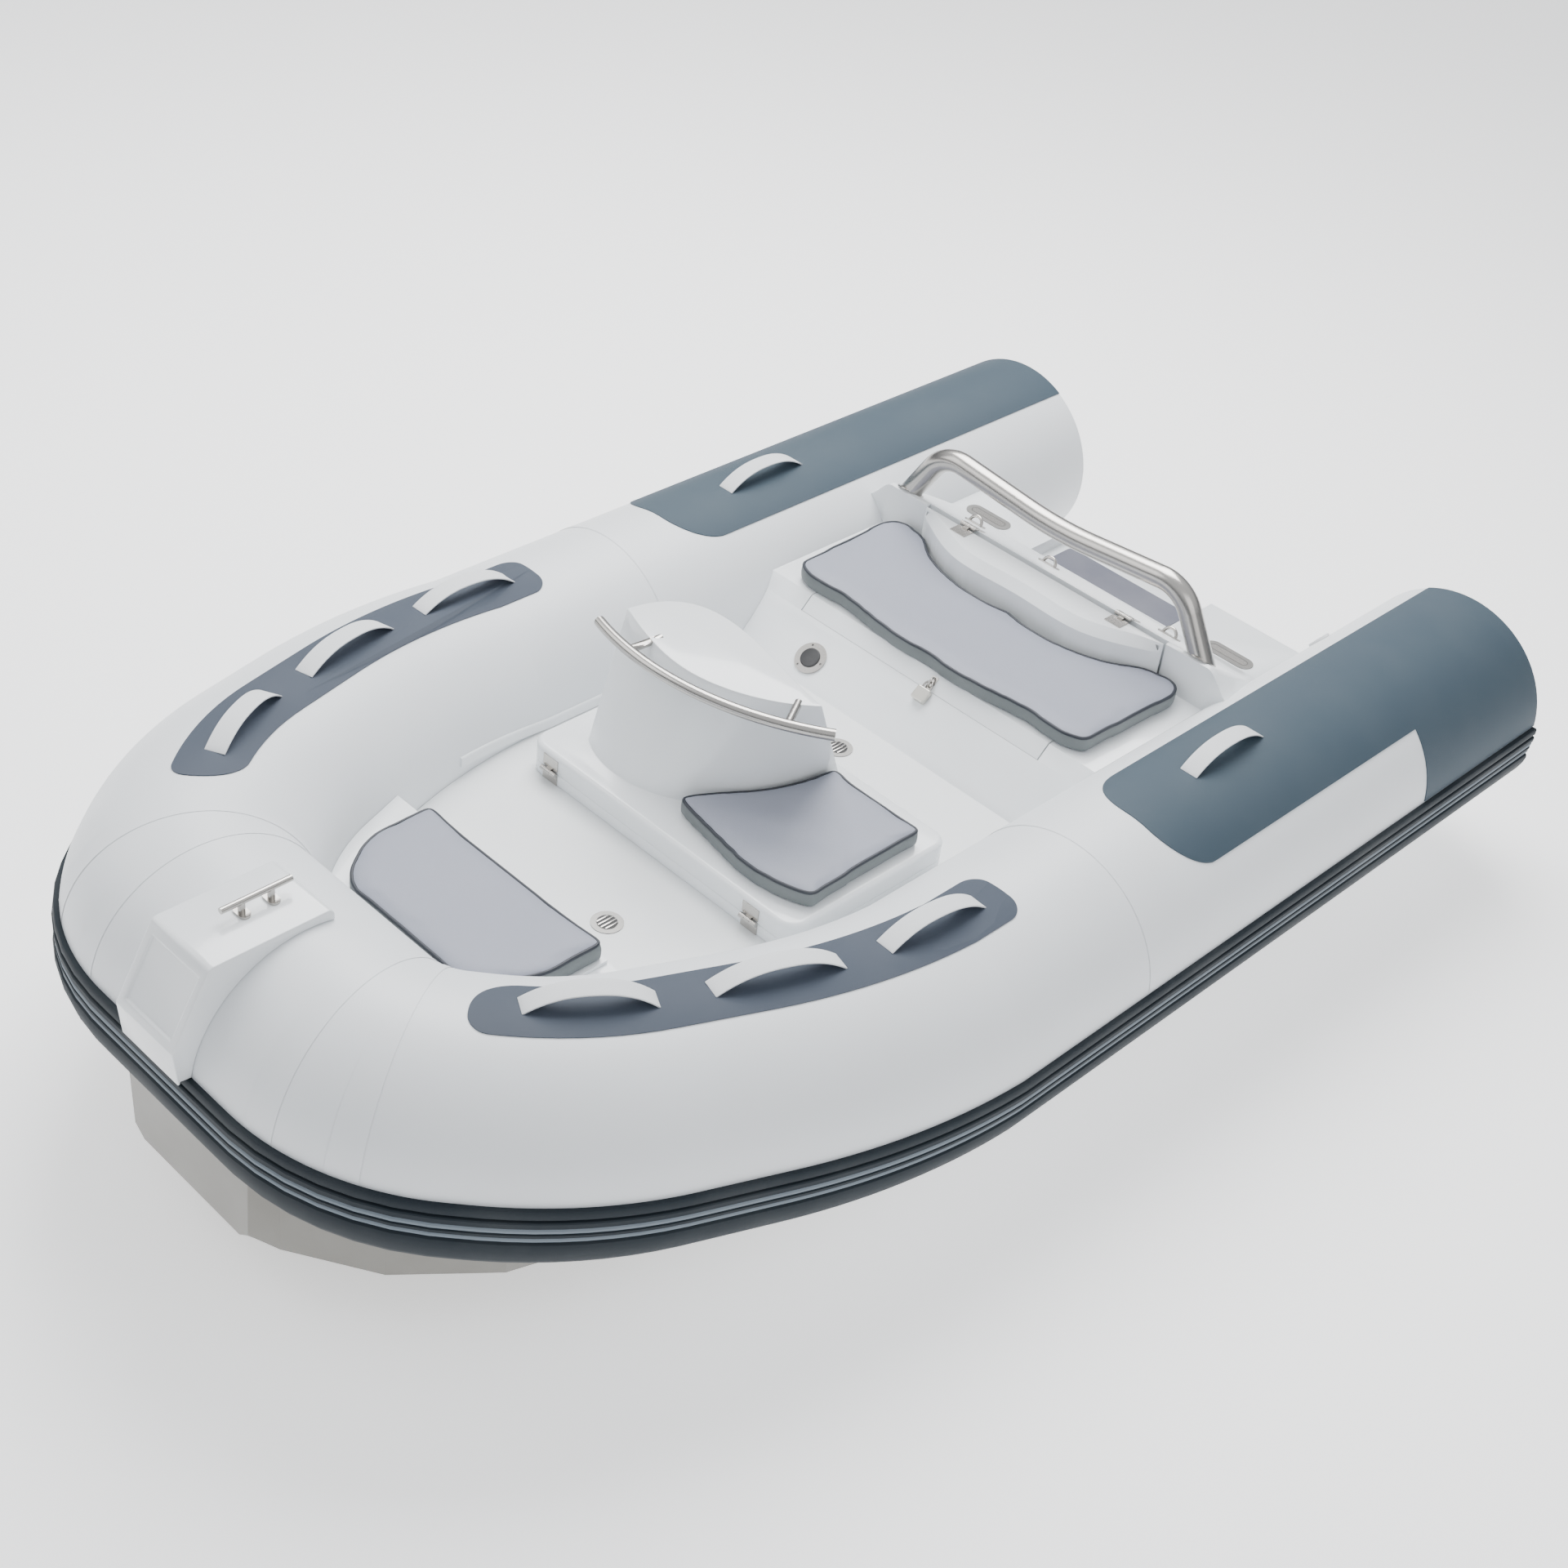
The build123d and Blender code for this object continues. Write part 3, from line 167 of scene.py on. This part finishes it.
def makeDust():  # a little darker in random noise patches, as dust where water dries
    group, start, end = newGroup("driedDust", [("Vector", "NodeSocketVector", None), ("Color", "NodeSocketColor", None),
                                               ("Dust", "NodeSocketColor", (0.5, 0.5, 0.48, 1)),
                                               ("Amount", "NodeSocketFloat", 0.15)],
                                 [("Color", "NodeSocketColor")])
    noise = group.nodes.new("ShaderNodeTexNoise")
    noise.inputs["Scale"].default_value = 5
    noise.inputs["Detail"].default_value = 8
    ramp = group.nodes.new("ShaderNodeMapRange")
    ramp.inputs["From Min"].default_value = 0.45
    ramp.inputs["From Max"].default_value = 0.75
    amount = group.nodes.new("ShaderNodeMath")
    amount.operation = "MULTIPLY"
    mix = group.nodes.new("ShaderNodeMix")
    mix.data_type = "RGBA"
    link = group.links.new
    link(start.outputs["Vector"], noise.inputs["Vector"])
    link(noise.outputs["Fac"], ramp.inputs["Value"])
    link(ramp.outputs["Result"], amount.inputs[0])
    link(start.outputs["Amount"], amount.inputs[1])
    link(amount.outputs[0], mix.inputs[0])
    link(start.outputs["Color"], mix.inputs[6])
    link(start.outputs["Dust"], mix.inputs[7])
    link(mix.outputs[2], end.inputs["Color"])
    return group


grain, weave, dust = makeGrain(), makeWeave(), makeDust()


def makeMaterial(name, color, roughness, metallic=0.0, shade=0.9, grainSize=400.0, patchSize=3.0, bump=0.1,
                 depth=0.0004, threads=None, dustAmount=0.1, stretch=None, **sockets):
    material = bpy.data.materials.new(name)
    material.use_nodes = True
    tree = material.node_tree
    shader = tree.nodes["Principled BSDF"]
    link = tree.links.new
    coords = tree.nodes.new("ShaderNodeTexCoord")
    place = tree.nodes.new("ShaderNodeMapping")
    link(coords.outputs["Object"], place.inputs["Vector"])
    if stretch:
        place.inputs["Scale"].default_value = stretch
    surface = tree.nodes.new("ShaderNodeGroup")
    surface.node_tree = grain
    surface.inputs["Size"].default_value = grainSize
    surface.inputs["Patch Size"].default_value = patchSize
    link(place.outputs["Vector"], surface.inputs["Vector"])
    tone = tree.nodes.new("ShaderNodeMix")  # two close shades in broad patches
    tone.data_type = "RGBA"
    tone.inputs[6].default_value = (*(c * shade for c in color), 1)
    tone.inputs[7].default_value = (*color, 1)
    link(surface.outputs["Patches"], tone.inputs[0])
    dirt = tree.nodes.new("ShaderNodeGroup")
    dirt.node_tree = dust
    dirt.inputs["Amount"].default_value = dustAmount
    link(coords.outputs["Object"], dirt.inputs["Vector"])
    link(tone.outputs[2], dirt.inputs["Color"])
    link(dirt.outputs["Color"], shader.inputs["Base Color"])
    rough = tree.nodes.new("ShaderNodeMapRange")
    rough.inputs["To Min"].default_value = roughness * 0.85
    rough.inputs["To Max"].default_value = roughness * 1.2
    link(surface.outputs["Patches"], rough.inputs["Value"])
    link(rough.outputs["Result"], shader.inputs["Roughness"])
    relief = tree.nodes.new("ShaderNodeBump")
    relief.inputs["Strength"].default_value = bump
    relief.inputs["Distance"].default_value = depth
    height = surface.outputs["Height"]
    if threads:
        cloth = tree.nodes.new("ShaderNodeGroup")
        cloth.node_tree = weave
        cloth.inputs["Threads"].default_value = threads
        link(coords.outputs["Object"], cloth.inputs["Vector"])
        height = cloth.outputs["Height"]
    link(height, relief.inputs["Height"])
    link(relief.outputs["Normal"], shader.inputs["Normal"])
    shader.inputs["Metallic"].default_value = metallic
    for socket, value in sockets.items():
        shader.inputs[socket.replace("_", " ")].default_value = value
    materials[name] = material
    return material


def makeMaterials():
    makeMaterial("tube_fabric", (0.80, 0.825, 0.85), 0.42, shade=0.96, bump=0.12, threads=700.0, dustAmount=0.05,
                 Coat_Weight=0.08, Coat_Roughness=0.35)
    makeMaterial("patch_fabric", (0.030, 0.056, 0.080), 0.6, shade=0.92, bump=0.35, threads=420.0, dustAmount=0.02,
                 Sheen_Weight=0.03)
    makeMaterial("pad_fabric", (0.038, 0.053, 0.080), 0.62, shade=0.92, bump=0.35, threads=420.0, dustAmount=0.02,
                 Sheen_Weight=0.03)
    makeMaterial("strake_rubber", (0.010, 0.017, 0.024), 0.62, shade=0.8, grainSize=300.0, bump=0.2, dustAmount=0.04,
                 Specular_IOR_Level=0.25)
    makeMaterial("strake_line", (0.16, 0.195, 0.23), 0.6, shade=0.85, grainSize=300.0, bump=0.15, dustAmount=0.04,
                 Specular_IOR_Level=0.25)
    makeMaterial("webbing", (0.78, 0.80, 0.82), 0.5, shade=0.94, bump=0.6, threads=260.0, dustAmount=0.08)
    makeMaterial("gelcoat", (0.82, 0.845, 0.865), 0.2, shade=0.97, grainSize=60.0, bump=0.05, dustAmount=0.05,
                 Coat_Weight=0.4, Coat_Roughness=0.08)
    makeMaterial("deck_gelcoat", (0.80, 0.82, 0.83), 0.38, shade=0.96, grainSize=350.0, bump=0.25, dustAmount=0.1,
                 Coat_Weight=0.15, Coat_Roughness=0.2)
    makeMaterial("hull_gelcoat", (0.22, 0.21, 0.185), 0.3, shade=0.93, grainSize=60.0, bump=0.05, dustAmount=0.15,
                 Coat_Weight=0.3, Coat_Roughness=0.1)
    makeMaterial("cushion_vinyl", (0.27, 0.285, 0.345), 0.52, shade=0.93, grainSize=520.0, bump=0.45, depth=0.0006,
                 dustAmount=0.05, Sheen_Weight=0.03)
    # darker copy of the cushion vinyl: painted shade for the cushions' sides
    makeMaterial("cushion_side_painted_shade", (0.13, 0.148, 0.152), 0.5, shade=0.93, grainSize=520.0, bump=0.45, depth=0.0006,
                 dustAmount=0.05)
    makeMaterial("dull_steel", (0.27, 0.265, 0.255), 0.42, metallic=1.0, shade=0.85, grainSize=500.0, bump=0.08,
                 dustAmount=0.05)
    makeMaterial("piping", (0.012, 0.016, 0.026), 0.45, shade=0.8, grainSize=600.0, bump=0.3, dustAmount=0.03)
    makeMaterial("stainless", (0.50, 0.48, 0.455), 0.24, metallic=1.0, shade=0.9, grainSize=500.0, bump=0.06,
                 dustAmount=0.05, stretch=(0.05, 1.0, 1.0))
    makeMaterial("padlock_steel", (0.70, 0.68, 0.62), 0.3, metallic=1.0, grainSize=300.0, dustAmount=0.1)
    makeMaterial("black_rubber", (0.018, 0.018, 0.02), 0.6, grainSize=300.0, bump=0.3)
    makeMaterial("white_plastic", (0.78, 0.79, 0.80), 0.4, grainSize=300.0)
    makeMaterial("grey_plastic", (0.10, 0.105, 0.14), 0.5, grainSize=350.0, bump=0.4, dustAmount=0.12)
    makeMaterial("floor", (0.9, 0.9, 0.905), 0.7, shade=0.99, patchSize=0.5, bump=0.03, dustAmount=0.0,
                 Emission_Color=(1, 1, 1, 1), Emission_Strength=0.7)


def toObject(bm, name, material, smooth=40.0):
    mesh = bpy.data.meshes.new(name)
    bm.to_mesh(mesh)
    bm.free()
    mesh.shade_smooth()
    mesh.set_sharp_from_angle(angle=radians(smooth))
    piece = bpy.data.objects.new(name, mesh)
    bpy.context.scene.collection.objects.link(piece)
    mesh.materials.append(materials[material])
    return piece


def place(piece, body, slot, *replaced):
    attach(piece, body)
    if replaced:
        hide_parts(*replaced)
    return piece


def welded(node):  # a copy of a CAD node with its triangles joined and its flat faces whole
    bm = bmesh.new()
    bm.from_mesh(nodes[node].data)
    bmesh.ops.remove_doubles(bm, verts=bm.verts, dist=0.00003)
    bmesh.ops.dissolve_limit(bm, angle_limit=radians(0.3), verts=bm.verts, edges=bm.edges)
    return bm


# hard parts that keep the frame's own shape
def dressFrame():
    special = {"handle_pad_port": "pad_fabric", "handle_pad_stbd": "pad_fabric", "deck_sole": "deck_gelcoat",
               "drain_covers": "dull_steel", "cleat_cups": "dull_steel"}
    for name, node in nodes.items():
        material = materials[special.get(name, slotOf[name])]
        if not node.material_slots:
            node.data.materials.append(material)
        for materialSlot in node.material_slots:
            materialSlot.material = material


# upholstery
cushions = {"bow_cushion": {"swell": 0.006, "inset": 0.003, "band": 0.007},
            "front_seat_cushion": {"swell": 0.006, "inset": 0.003, "band": 0.006},
            "stern_cushion": {"swell": 0.006, "inset": 0.003, "band": 0.006}}
sewing = {"voxel": 0.006, "quickVoxel": 0.009, "pressure": 4.0, "frames": 20, "pipingRadius": 0.0036,
          "rounding": 14}


def activate(piece):
    bpy.ops.object.select_all(action="DESELECT")
    piece.select_set(True)
    bpy.context.view_layer.objects.active = piece


def applyAll(piece):
    activate(piece)
    for modifier in list(piece.modifiers):
        bpy.ops.object.modifier_apply(modifier=modifier.name)


def inflated(piece, swell):
    start = [vertex.co.copy() for vertex in piece.data.vertices]
    cloth = piece.modifiers.new("cloth", "CLOTH")
    cloth.settings.quality = 5
    cloth.settings.use_pressure = True
    cloth.settings.uniform_pressure_force = sewing["pressure"]
    cloth.settings.effector_weights.gravity = 0
    cloth.point_cache.frame_start = 1
    cloth.point_cache.frame_end = sewing["frames"]
    for number in range(1, sewing["frames"] + 1):
        bpy.context.scene.frame_set(number)
    applyAll(piece)
    for vertex, old in zip(piece.data.vertices, start):
        moved = vertex.co - old
        if moved.length > swell:
            vertex.co = old + moved.normalized() * swell
    bpy.context.scene.frame_set(1)


def makeCushion(node, facts):
    low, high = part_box(node)
    middle = (low + high) / 2
    inset = facts["inset"]
    bm = welded(node)
    for vertex in bm.verts:
        share = [(vertex.co[k] - middle[k]) / max(high[k] - middle[k], 0.001) for k in range(3)]
        vertex.co.x -= share[0] * inset
        vertex.co.y -= share[1] * inset
        vertex.co.z -= max(share[2], 0) * inset
    piece = toObject(bm, node + "_cover", "cushion_vinyl", smooth=60.0)
    remesh = piece.modifiers.new("remesh", "REMESH")
    remesh.mode = "VOXEL"
    remesh.voxel_size = sewing["voxel"]
    rounded = piece.modifiers.new("rounded", "SMOOTH")
    rounded.iterations = sewing["rounding"]
    rounded.use_z = False
    applyAll(piece)
    inflated(piece, facts["swell"])
    for vertex in piece.data.vertices:
        vertex.co.z = max(vertex.co.z, low.z + 0.0005)
    smooth = piece.modifiers.new("smooth", "SMOOTH")
    smooth.iterations = 3
    finer = piece.modifiers.new("finer", "SUBSURF")
    finer.levels = finer.render_levels = 1
    applyAll(piece)
    # the sides below the piping get the darker second material: painted shade on the cushions' sides
    piece.data.materials.append(materials["cushion_side_painted_shade"])
    piece.data.shade_smooth()
    for face in piece.data.polygons:
        if face.center.z < high.z - facts["band"] and abs(face.normal.z) < 0.9:
            face.material_index = 1
    place(piece, bodyOf[node], "cushion_vinyl", node)
    makePiping(node, piece, high.z - facts["band"] + 0.001)


def makePiping(node, cover, height):  # the outline of the cover at one height, as a round cord
    bm = bmesh.new()
    bm.from_mesh(cover.data)
    everything = bm.verts[:] + bm.edges[:] + bm.faces[:]
    cut = bmesh.ops.bisect_plane(bm, geom=everything, plane_co=(0, 0, height), plane_no=(0, 0, 1), clear_outer=True,
                                 clear_inner=True)
    bmesh.ops.remove_doubles(bm, verts=bm.verts, dist=0.003)
    for _ in range(3):
        bmesh.ops.smooth_vert(bm, verts=bm.verts, factor=0.5, use_axis_x=True, use_axis_y=True)
    mesh = bpy.data.meshes.new(node + "_piping")
    bm.to_mesh(mesh)
    bm.free()
    piece = bpy.data.objects.new(node + "_piping", mesh)
    bpy.context.scene.collection.objects.link(piece)
    activate(piece)
    bpy.ops.object.convert(target="CURVE")
    piece.data.bevel_depth = sewing["pipingRadius"]
    piece.data.bevel_resolution = 3
    piece.data.resolution_u = 2
    bpy.ops.object.convert(target="MESH")
    piece.data.materials.clear()
    piece.data.materials.append(materials["piping"])
    piece.data.shade_smooth()
    place(piece, bodyOf[node], "cushion_vinyl")


# the collar's centreline: distances run aft from the bow's middle, port positive, and angles from the tube's top
collar = {"halfSpacing": 0.618, "axisHeight": 0.338, "jointY": -0.300, "sheer": radians(5.86), "radius": 0.216,
          "runs": [("arc", 0.240, 47.4), ("line", 0.036, 0), ("arc", 0.614, 24.6), ("line", 0.167, 0),
                   ("arc", 1.300, 18.0), ("line", 0.016, 0)]}


def walked(distance, firstRun):
    x = v = heading = 0.0
    for kind, size, turn in [("line", firstRun, 0), *collar["runs"]]:
        length = size if kind == "line" else size * radians(turn)
        step = min(distance, length)
        if kind == "line":
            x, v = x + step * cos(heading), v + step * sin(heading)
        else:
            after = heading + step / size
            x, v = x + size * (sin(after) - sin(heading)), v + size * (cos(heading) - cos(after))
            heading = after
        distance -= step
    return x, v, heading, distance


collar["firstRun"] = collar["halfSpacing"] - walked(9, 0)[0]
collar["depth"] = walked(9, collar["firstRun"])[1]
collar["jointAt"] = 9 - walked(9, collar["firstRun"])[3]


def tubePoint(distance, angle, height=0.0):
    x, v, heading, rest = walked(abs(distance), collar["firstRun"])
    v -= collar["depth"]
    tilt = collar["sheer"] if rest <= 0 else 0.0
    middle = Vector((x, collar["jointY"] + v * cos(tilt) + rest, collar["axisHeight"] - v * sin(tilt)))
    outward = Vector((sin(heading), -cos(heading) * cos(tilt), cos(heading) * sin(tilt)))
    upward = Vector((0, sin(tilt), cos(tilt)))
    reach = collar["radius"] + height
    point = middle + reach * (outward * sin(radians(angle)) + upward * cos(radians(angle)))
    return Vector((point.x * (1 if distance >= 0 else -1), point.y, point.z))


def distanceAt(y):  # on the straight tube
    return collar["jointAt"] + y - collar["jointY"]


def spaced(start, end, step):
    count = max(2, round(abs(end - start) / step))
    return [start + (end - start) * k / count for k in range(count + 1)]


# a flat grid bent round the tube: the outline is (angle, height) pairs, and bands give some rows another material;
# where edges gives two angles at a distance, the outline's angles are shares of the way between them
def onTube(name, outline, distances, material, bands=None, smooth=40.0, edges=None):
    columns, rows = len(distances) - 1, len(outline) - 1
    bm = bmesh.new()
    bmesh.ops.create_grid(bm, x_segments=columns, y_segments=rows, size=1)
    for face in bm.faces:
        row = int((face.calc_center_median().y + 1) / 2 * rows)
        face.material_index = 1 if bands and row in bands[1] else 0
    for vertex in bm.verts:
        column, row = (round((t + 1) / 2 * n) for t, n in ((vertex.co.x, columns), (vertex.co.y, rows)))
        angle, height = outline[row]
        if edges:
            first, last = edges(abs(distances[column]))
            angle = first + (last - first) * angle
        vertex.co = tubePoint(distances[column], angle, height)
    bmesh.ops.remove_doubles(bm, verts=bm.verts, dist=0.00002)
    bmesh.ops.holes_fill(bm, edges=[edge for edge in bm.edges if edge.is_boundary], sides=0)
    bmesh.ops.recalc_face_normals(bm, faces=bm.faces)
    piece = toObject(bm, name, material, smooth)
    if bands:
        piece.data.materials.append(materials[bands[0]])
    return piece


# rub strake: dark ribs with two pale lines, one extrusion all the way round
strake = {"outline": [(87, -0.001), (87.2, 0.009), (88, 0.0105), (90.6, 0.0105), (91.2, 0.0095), (91.5, 0.006),
                      (92.1, 0.006), (92.4, 0.0105), (93, 0.012), (95.4, 0.012), (95.9, 0.0105), (96.1, 0.0095),
                      (97.0, 0.0115), (98.2, 0.0115), (98.9, 0.0095), (99.2, 0.0125), (100.8, 0.0125),
                      (101.1, 0.0105), (102.0, 0.0125), (103.2, 0.0125), (103.9, 0.0105), (104.4, 0.0155),
                      (106, 0.0185), (110, 0.0199), (115, 0.0199), (119, 0.0175), (121.5, 0.012), (122.8, 0.004),
                      (123, -0.001), (87, -0.001)],
          "paleRows": (11, 12, 13, 17, 18, 19), "step": 0.03}


def makeStrake():
    end = distanceAt(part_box("rub_strake_aft_port")[1].y)
    piece = onTube("rub_strake_ribbed", strake["outline"], spaced(-end, end, strake["step"]), "strake_rubber",
                   ("strake_line", strake["paleRows"]), 28.0)
    replaced = [name for name in nodes if name.startswith("rub_strake")]
    place(piece, "boat", "strake_rubber", *replaced)


# forward pads under the strap handles, their tips cut to a slant and rounded
pads = {"from": collar["firstRun"] + 0.1985, "endY": -0.165, "halfAngle": 16.0, "thick": 0.002,
        "tipIn": 0.085, "tipOut": 0.034, "rear": 0.036}


def recess(distance, radius):
    return radius - sqrt(radius ** 2 - (radius - distance) ** 2) if distance < radius else 0.0


def padEdges(distance):
    ahead, behind = distance - pads["from"], distanceAt(pads["endY"]) - distance
    perMetre = 180 / pi / collar["radius"]
    inner = (recess(ahead, pads["tipIn"]) + recess(behind, pads["rear"])) * perMetre
    outer = (recess(ahead, pads["tipOut"]) + recess(behind, pads["rear"])) * perMetre
    return -pads["halfAngle"] + inner, pads["halfAngle"] - outer


def makePad(side, word):
    start, end = pads["from"], distanceAt(pads["endY"])
    stations = [start + 0.1 * (k / 16) ** 2 for k in range(16)] + spaced(start + 0.1, end - 0.04, 0.03)
    stations += [end - 0.04 * (1 - k / 12) ** 2 for k in range(1, 13)]
    outline = [(0, -0.001), (0, pads["thick"])] + [(k / 8, pads["thick"]) for k in range(1, 8)]
    outline += [(1, pads["thick"]), (1, -0.001)]
    piece = onTube("handle_pad_skin_" + word, outline, [side * at for at in stations], "pad_fabric", smooth=50.0,
                   edges=padEdges)
    place(piece, "boat", "patch_fabric", "handle_pad_" + word)


# overlap seams of the tube's fabric panels
seams = {"cross": {"bow": 0.190, "bow_second": 0.270, "middle": 1.60}, "width": 0.030, "thick": 0.0007,
         "angles": (-95, 86)}


def makeSeams():
    low, high = seams["angles"]
    for place_, at in seams["cross"].items():
        for side, word in ((1, "port"), (-1, "stbd")):
            outline = [(low, -0.001), (low, seams["thick"])]
            outline += [(angle, seams["thick"]) for angle in spaced(low, high, 4.0)]
            outline += [(high, -0.001)]
            piece = onTube(f"seam_{place_}_{word}", outline, [side * at, side * (at + seams["width"])],
                           "tube_fabric", smooth=30.0)
            place(piece, "boat", "tube_fabric")


# moulded parts: the frame's shape with its hard edges eased
easing = {"console_module": (0.006, 30), "bow_step_plate": (0.012, 20), "stern_moulding": (0.006, 35),
          "stern_seat_lid": (0.010, 25), "console_plinth": (0.003, 35)}


def sinkPanel(bm):  # shallow panel in the step plate's sloping front
    front = max((face for face in bm.faces if face.normal.y < -0.5), key=lambda face: face.calc_area())
    bmesh.ops.inset_region(bm, faces=[front], thickness=0.020, depth=0.0)
    bmesh.ops.inset_region(bm, faces=[front], thickness=0.004, depth=-0.004)


def makeEased(node, width, angle):
    bm = welded(node)
    if node == "stern_moulding":
        lowerEnds(bm)
    if node == "bow_step_plate":
        sinkPanel(bm)
    piece = toObject(bm, node + "_eased", "gelcoat", smooth=180.0)
    bevel = piece.modifiers.new("eased", "BEVEL")
    bevel.width = width
    bevel.segments = 3
    bevel.limit_method = "ANGLE"
    bevel.angle_limit = radians(angle)
    bevel.harden_normals = False
    applyAll(piece)
    piece.data.set_sharp_from_angle(angle=radians(32))
    place(piece, bodyOf[node], "gelcoat", node)


# the stern moulding's ends run down to the tubes
sternEnds = {"from": 0.428, "to": 0.492, "deck": 0.434, "aft": 0.908, "drop": 0.42, "cuts": 9}


def lowerEnds(bm):
    cuts = [side * x for x in spaced(sternEnds["from"], sternEnds["to"], 0.008) for side in (1, -1)]
    for x in cuts:
        bmesh.ops.bisect_plane(bm, geom=bm.verts[:] + bm.edges[:] + bm.faces[:], plane_co=(x, 0, 0),
                               plane_no=(1, 0, 0))
    reach = sternEnds["to"] - sternEnds["from"]
    for vertex in bm.verts:
        above = vertex.co.z - sternEnds["deck"]
        if above <= 0 or vertex.co.y < 0.5 or vertex.co.y > sternEnds["aft"]:
            continue
        share = min(max((abs(vertex.co.x) - sternEnds["from"]) / reach, 0), 1)
        share *= min(above / 0.03, 1)
        vertex.co.z -= above * sternEnds["drop"] * share * share * (3 - 2 * share)


# strap handles: flat webbing, arched between two stitched ends
straps = {"spans": {"a": (0.445, 0.662), "b": (0.754, 0.996), "c": (1.087, 1.338), "d": (1.932, 2.145)},
          "rise": 0.032, "width": 0.038, "thick": 0.0026, "pad": 0.002, "steps": 24}


def makeStrap(letter, side, word):
    start, end = (tubePoint(side * at, 0, straps["pad"] - 0.001) for at in straps["spans"][letter])
    along = end - start
    across = along.cross(Vector((0, 0, 1))).normalized()
    upward = across.cross(along).normalized()
    bm = bmesh.new()
    bmesh.ops.create_grid(bm, x_segments=straps["steps"], y_segments=4, size=1)
    for vertex in bm.verts:
        share = (vertex.co.x + 1) / 2
        lift = straps["rise"] * (1 - abs(2 * share - 1) ** 2.4)
        edge = vertex.co.y * straps["width"] / 2
        vertex.co = start + along * share + across * edge + upward * (lift + 0.0005)
    piece = toObject(bm, f"strap_{letter}_{word}", "webbing", 60.0)
    solid = piece.modifiers.new("thick", "SOLIDIFY")
    solid.thickness = straps["thick"]
    solid.offset = 0
    bevel = piece.modifiers.new("edge", "BEVEL")
    bevel.width = 0.0006
    bevel.segments = 2
    applyAll(piece)
    piece.data.shade_smooth()
    piece.data.set_sharp_from_angle(angle=radians(35))
    place(piece, "boat", "webbing", f"strap_handle_{letter}_{word}")


# low lip where the deck meets the tubes
coaming = {"outline": [(-86.5, -0.001), (-86.5, 0.005), (-82.5, 0.005), (-81.6, 0.0042), (-81.2, 0.002),
                       (-81.2, -0.001), (-86.5, -0.001)], "from": 0.985, "endY": 0.196}


def makeCoaming(side, word):
    distances = spaced(side * coaming["from"], side * distanceAt(coaming["endY"]), 0.04)
    piece = onTube("deck_lip_" + word, coaming["outline"], distances, "gelcoat", smooth=60.0)
    if side > 0:
        place(piece, "boat", "gelcoat", "deck_coamings")
    else:
        place(piece, "boat", "gelcoat")


# drains: a flat black disc under curved bars, painted shade for the dark hole of each drain
drains = {"at": ((-0.010, 0.122), (0.102, -0.585)), "well": 0.019, "bars": (-0.012, -0.004, 0.004, 0.012),
          "barWidth": 0.0032, "barHeight": 0.0012}


def makeDrains():
    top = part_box("drain_covers")[1].z
    for number, (x, y) in enumerate(drains["at"]):
        # the black disc is painted shade, standing in for the dark drain hole
        bm = bmesh.new()
        bmesh.ops.create_cone(bm, cap_ends=True, segments=40, radius1=drains["well"], radius2=drains["well"],
                              depth=0.0006, matrix=Matrix.Translation((x, y, top + 0.0002)))
        place(toObject(bm, f"drain_hole_shade_{number}", "black_rubber"), "boat", "black_rubber")
        bm = bmesh.new()
        for across in drains["bars"]:
            half = sqrt(drains["well"] ** 2 - across ** 2)
            size = Matrix.Diagonal((drains["barWidth"], 2 * half, drains["barHeight"], 1))
            bmesh.ops.create_cube(bm, size=1, matrix=Matrix.Translation((x + across, y, top + 0.0011)) @ size)
        bmesh.ops.bevel(bm, geom=bm.edges[:], offset=0.0004, segments=2, profile=0.5, affect="EDGES", material=-1)
        place(toObject(bm, f"drain_bars_{number}", "stainless"), "boat", "stainless")


makeMaterials()
makeCamera()
makeLamps()
makeFloor()
print("stage ready")
dressFrame()
print("frame dressed")
for node, facts in cushions.items():
    makeCushion(node, facts)
print("cushions ready")
makeStrake()
makeSeams()
for side, word in ((1, "port"), (-1, "stbd")):
    makeCoaming(side, word)
    makePad(side, word)
    for letter in straps["spans"]:
        makeStrap(letter, side, word)
print("collar ready")
for node, (width, angle) in easing.items():
    makeEased(node, width, angle)
makeDrains()
print("mouldings ready")
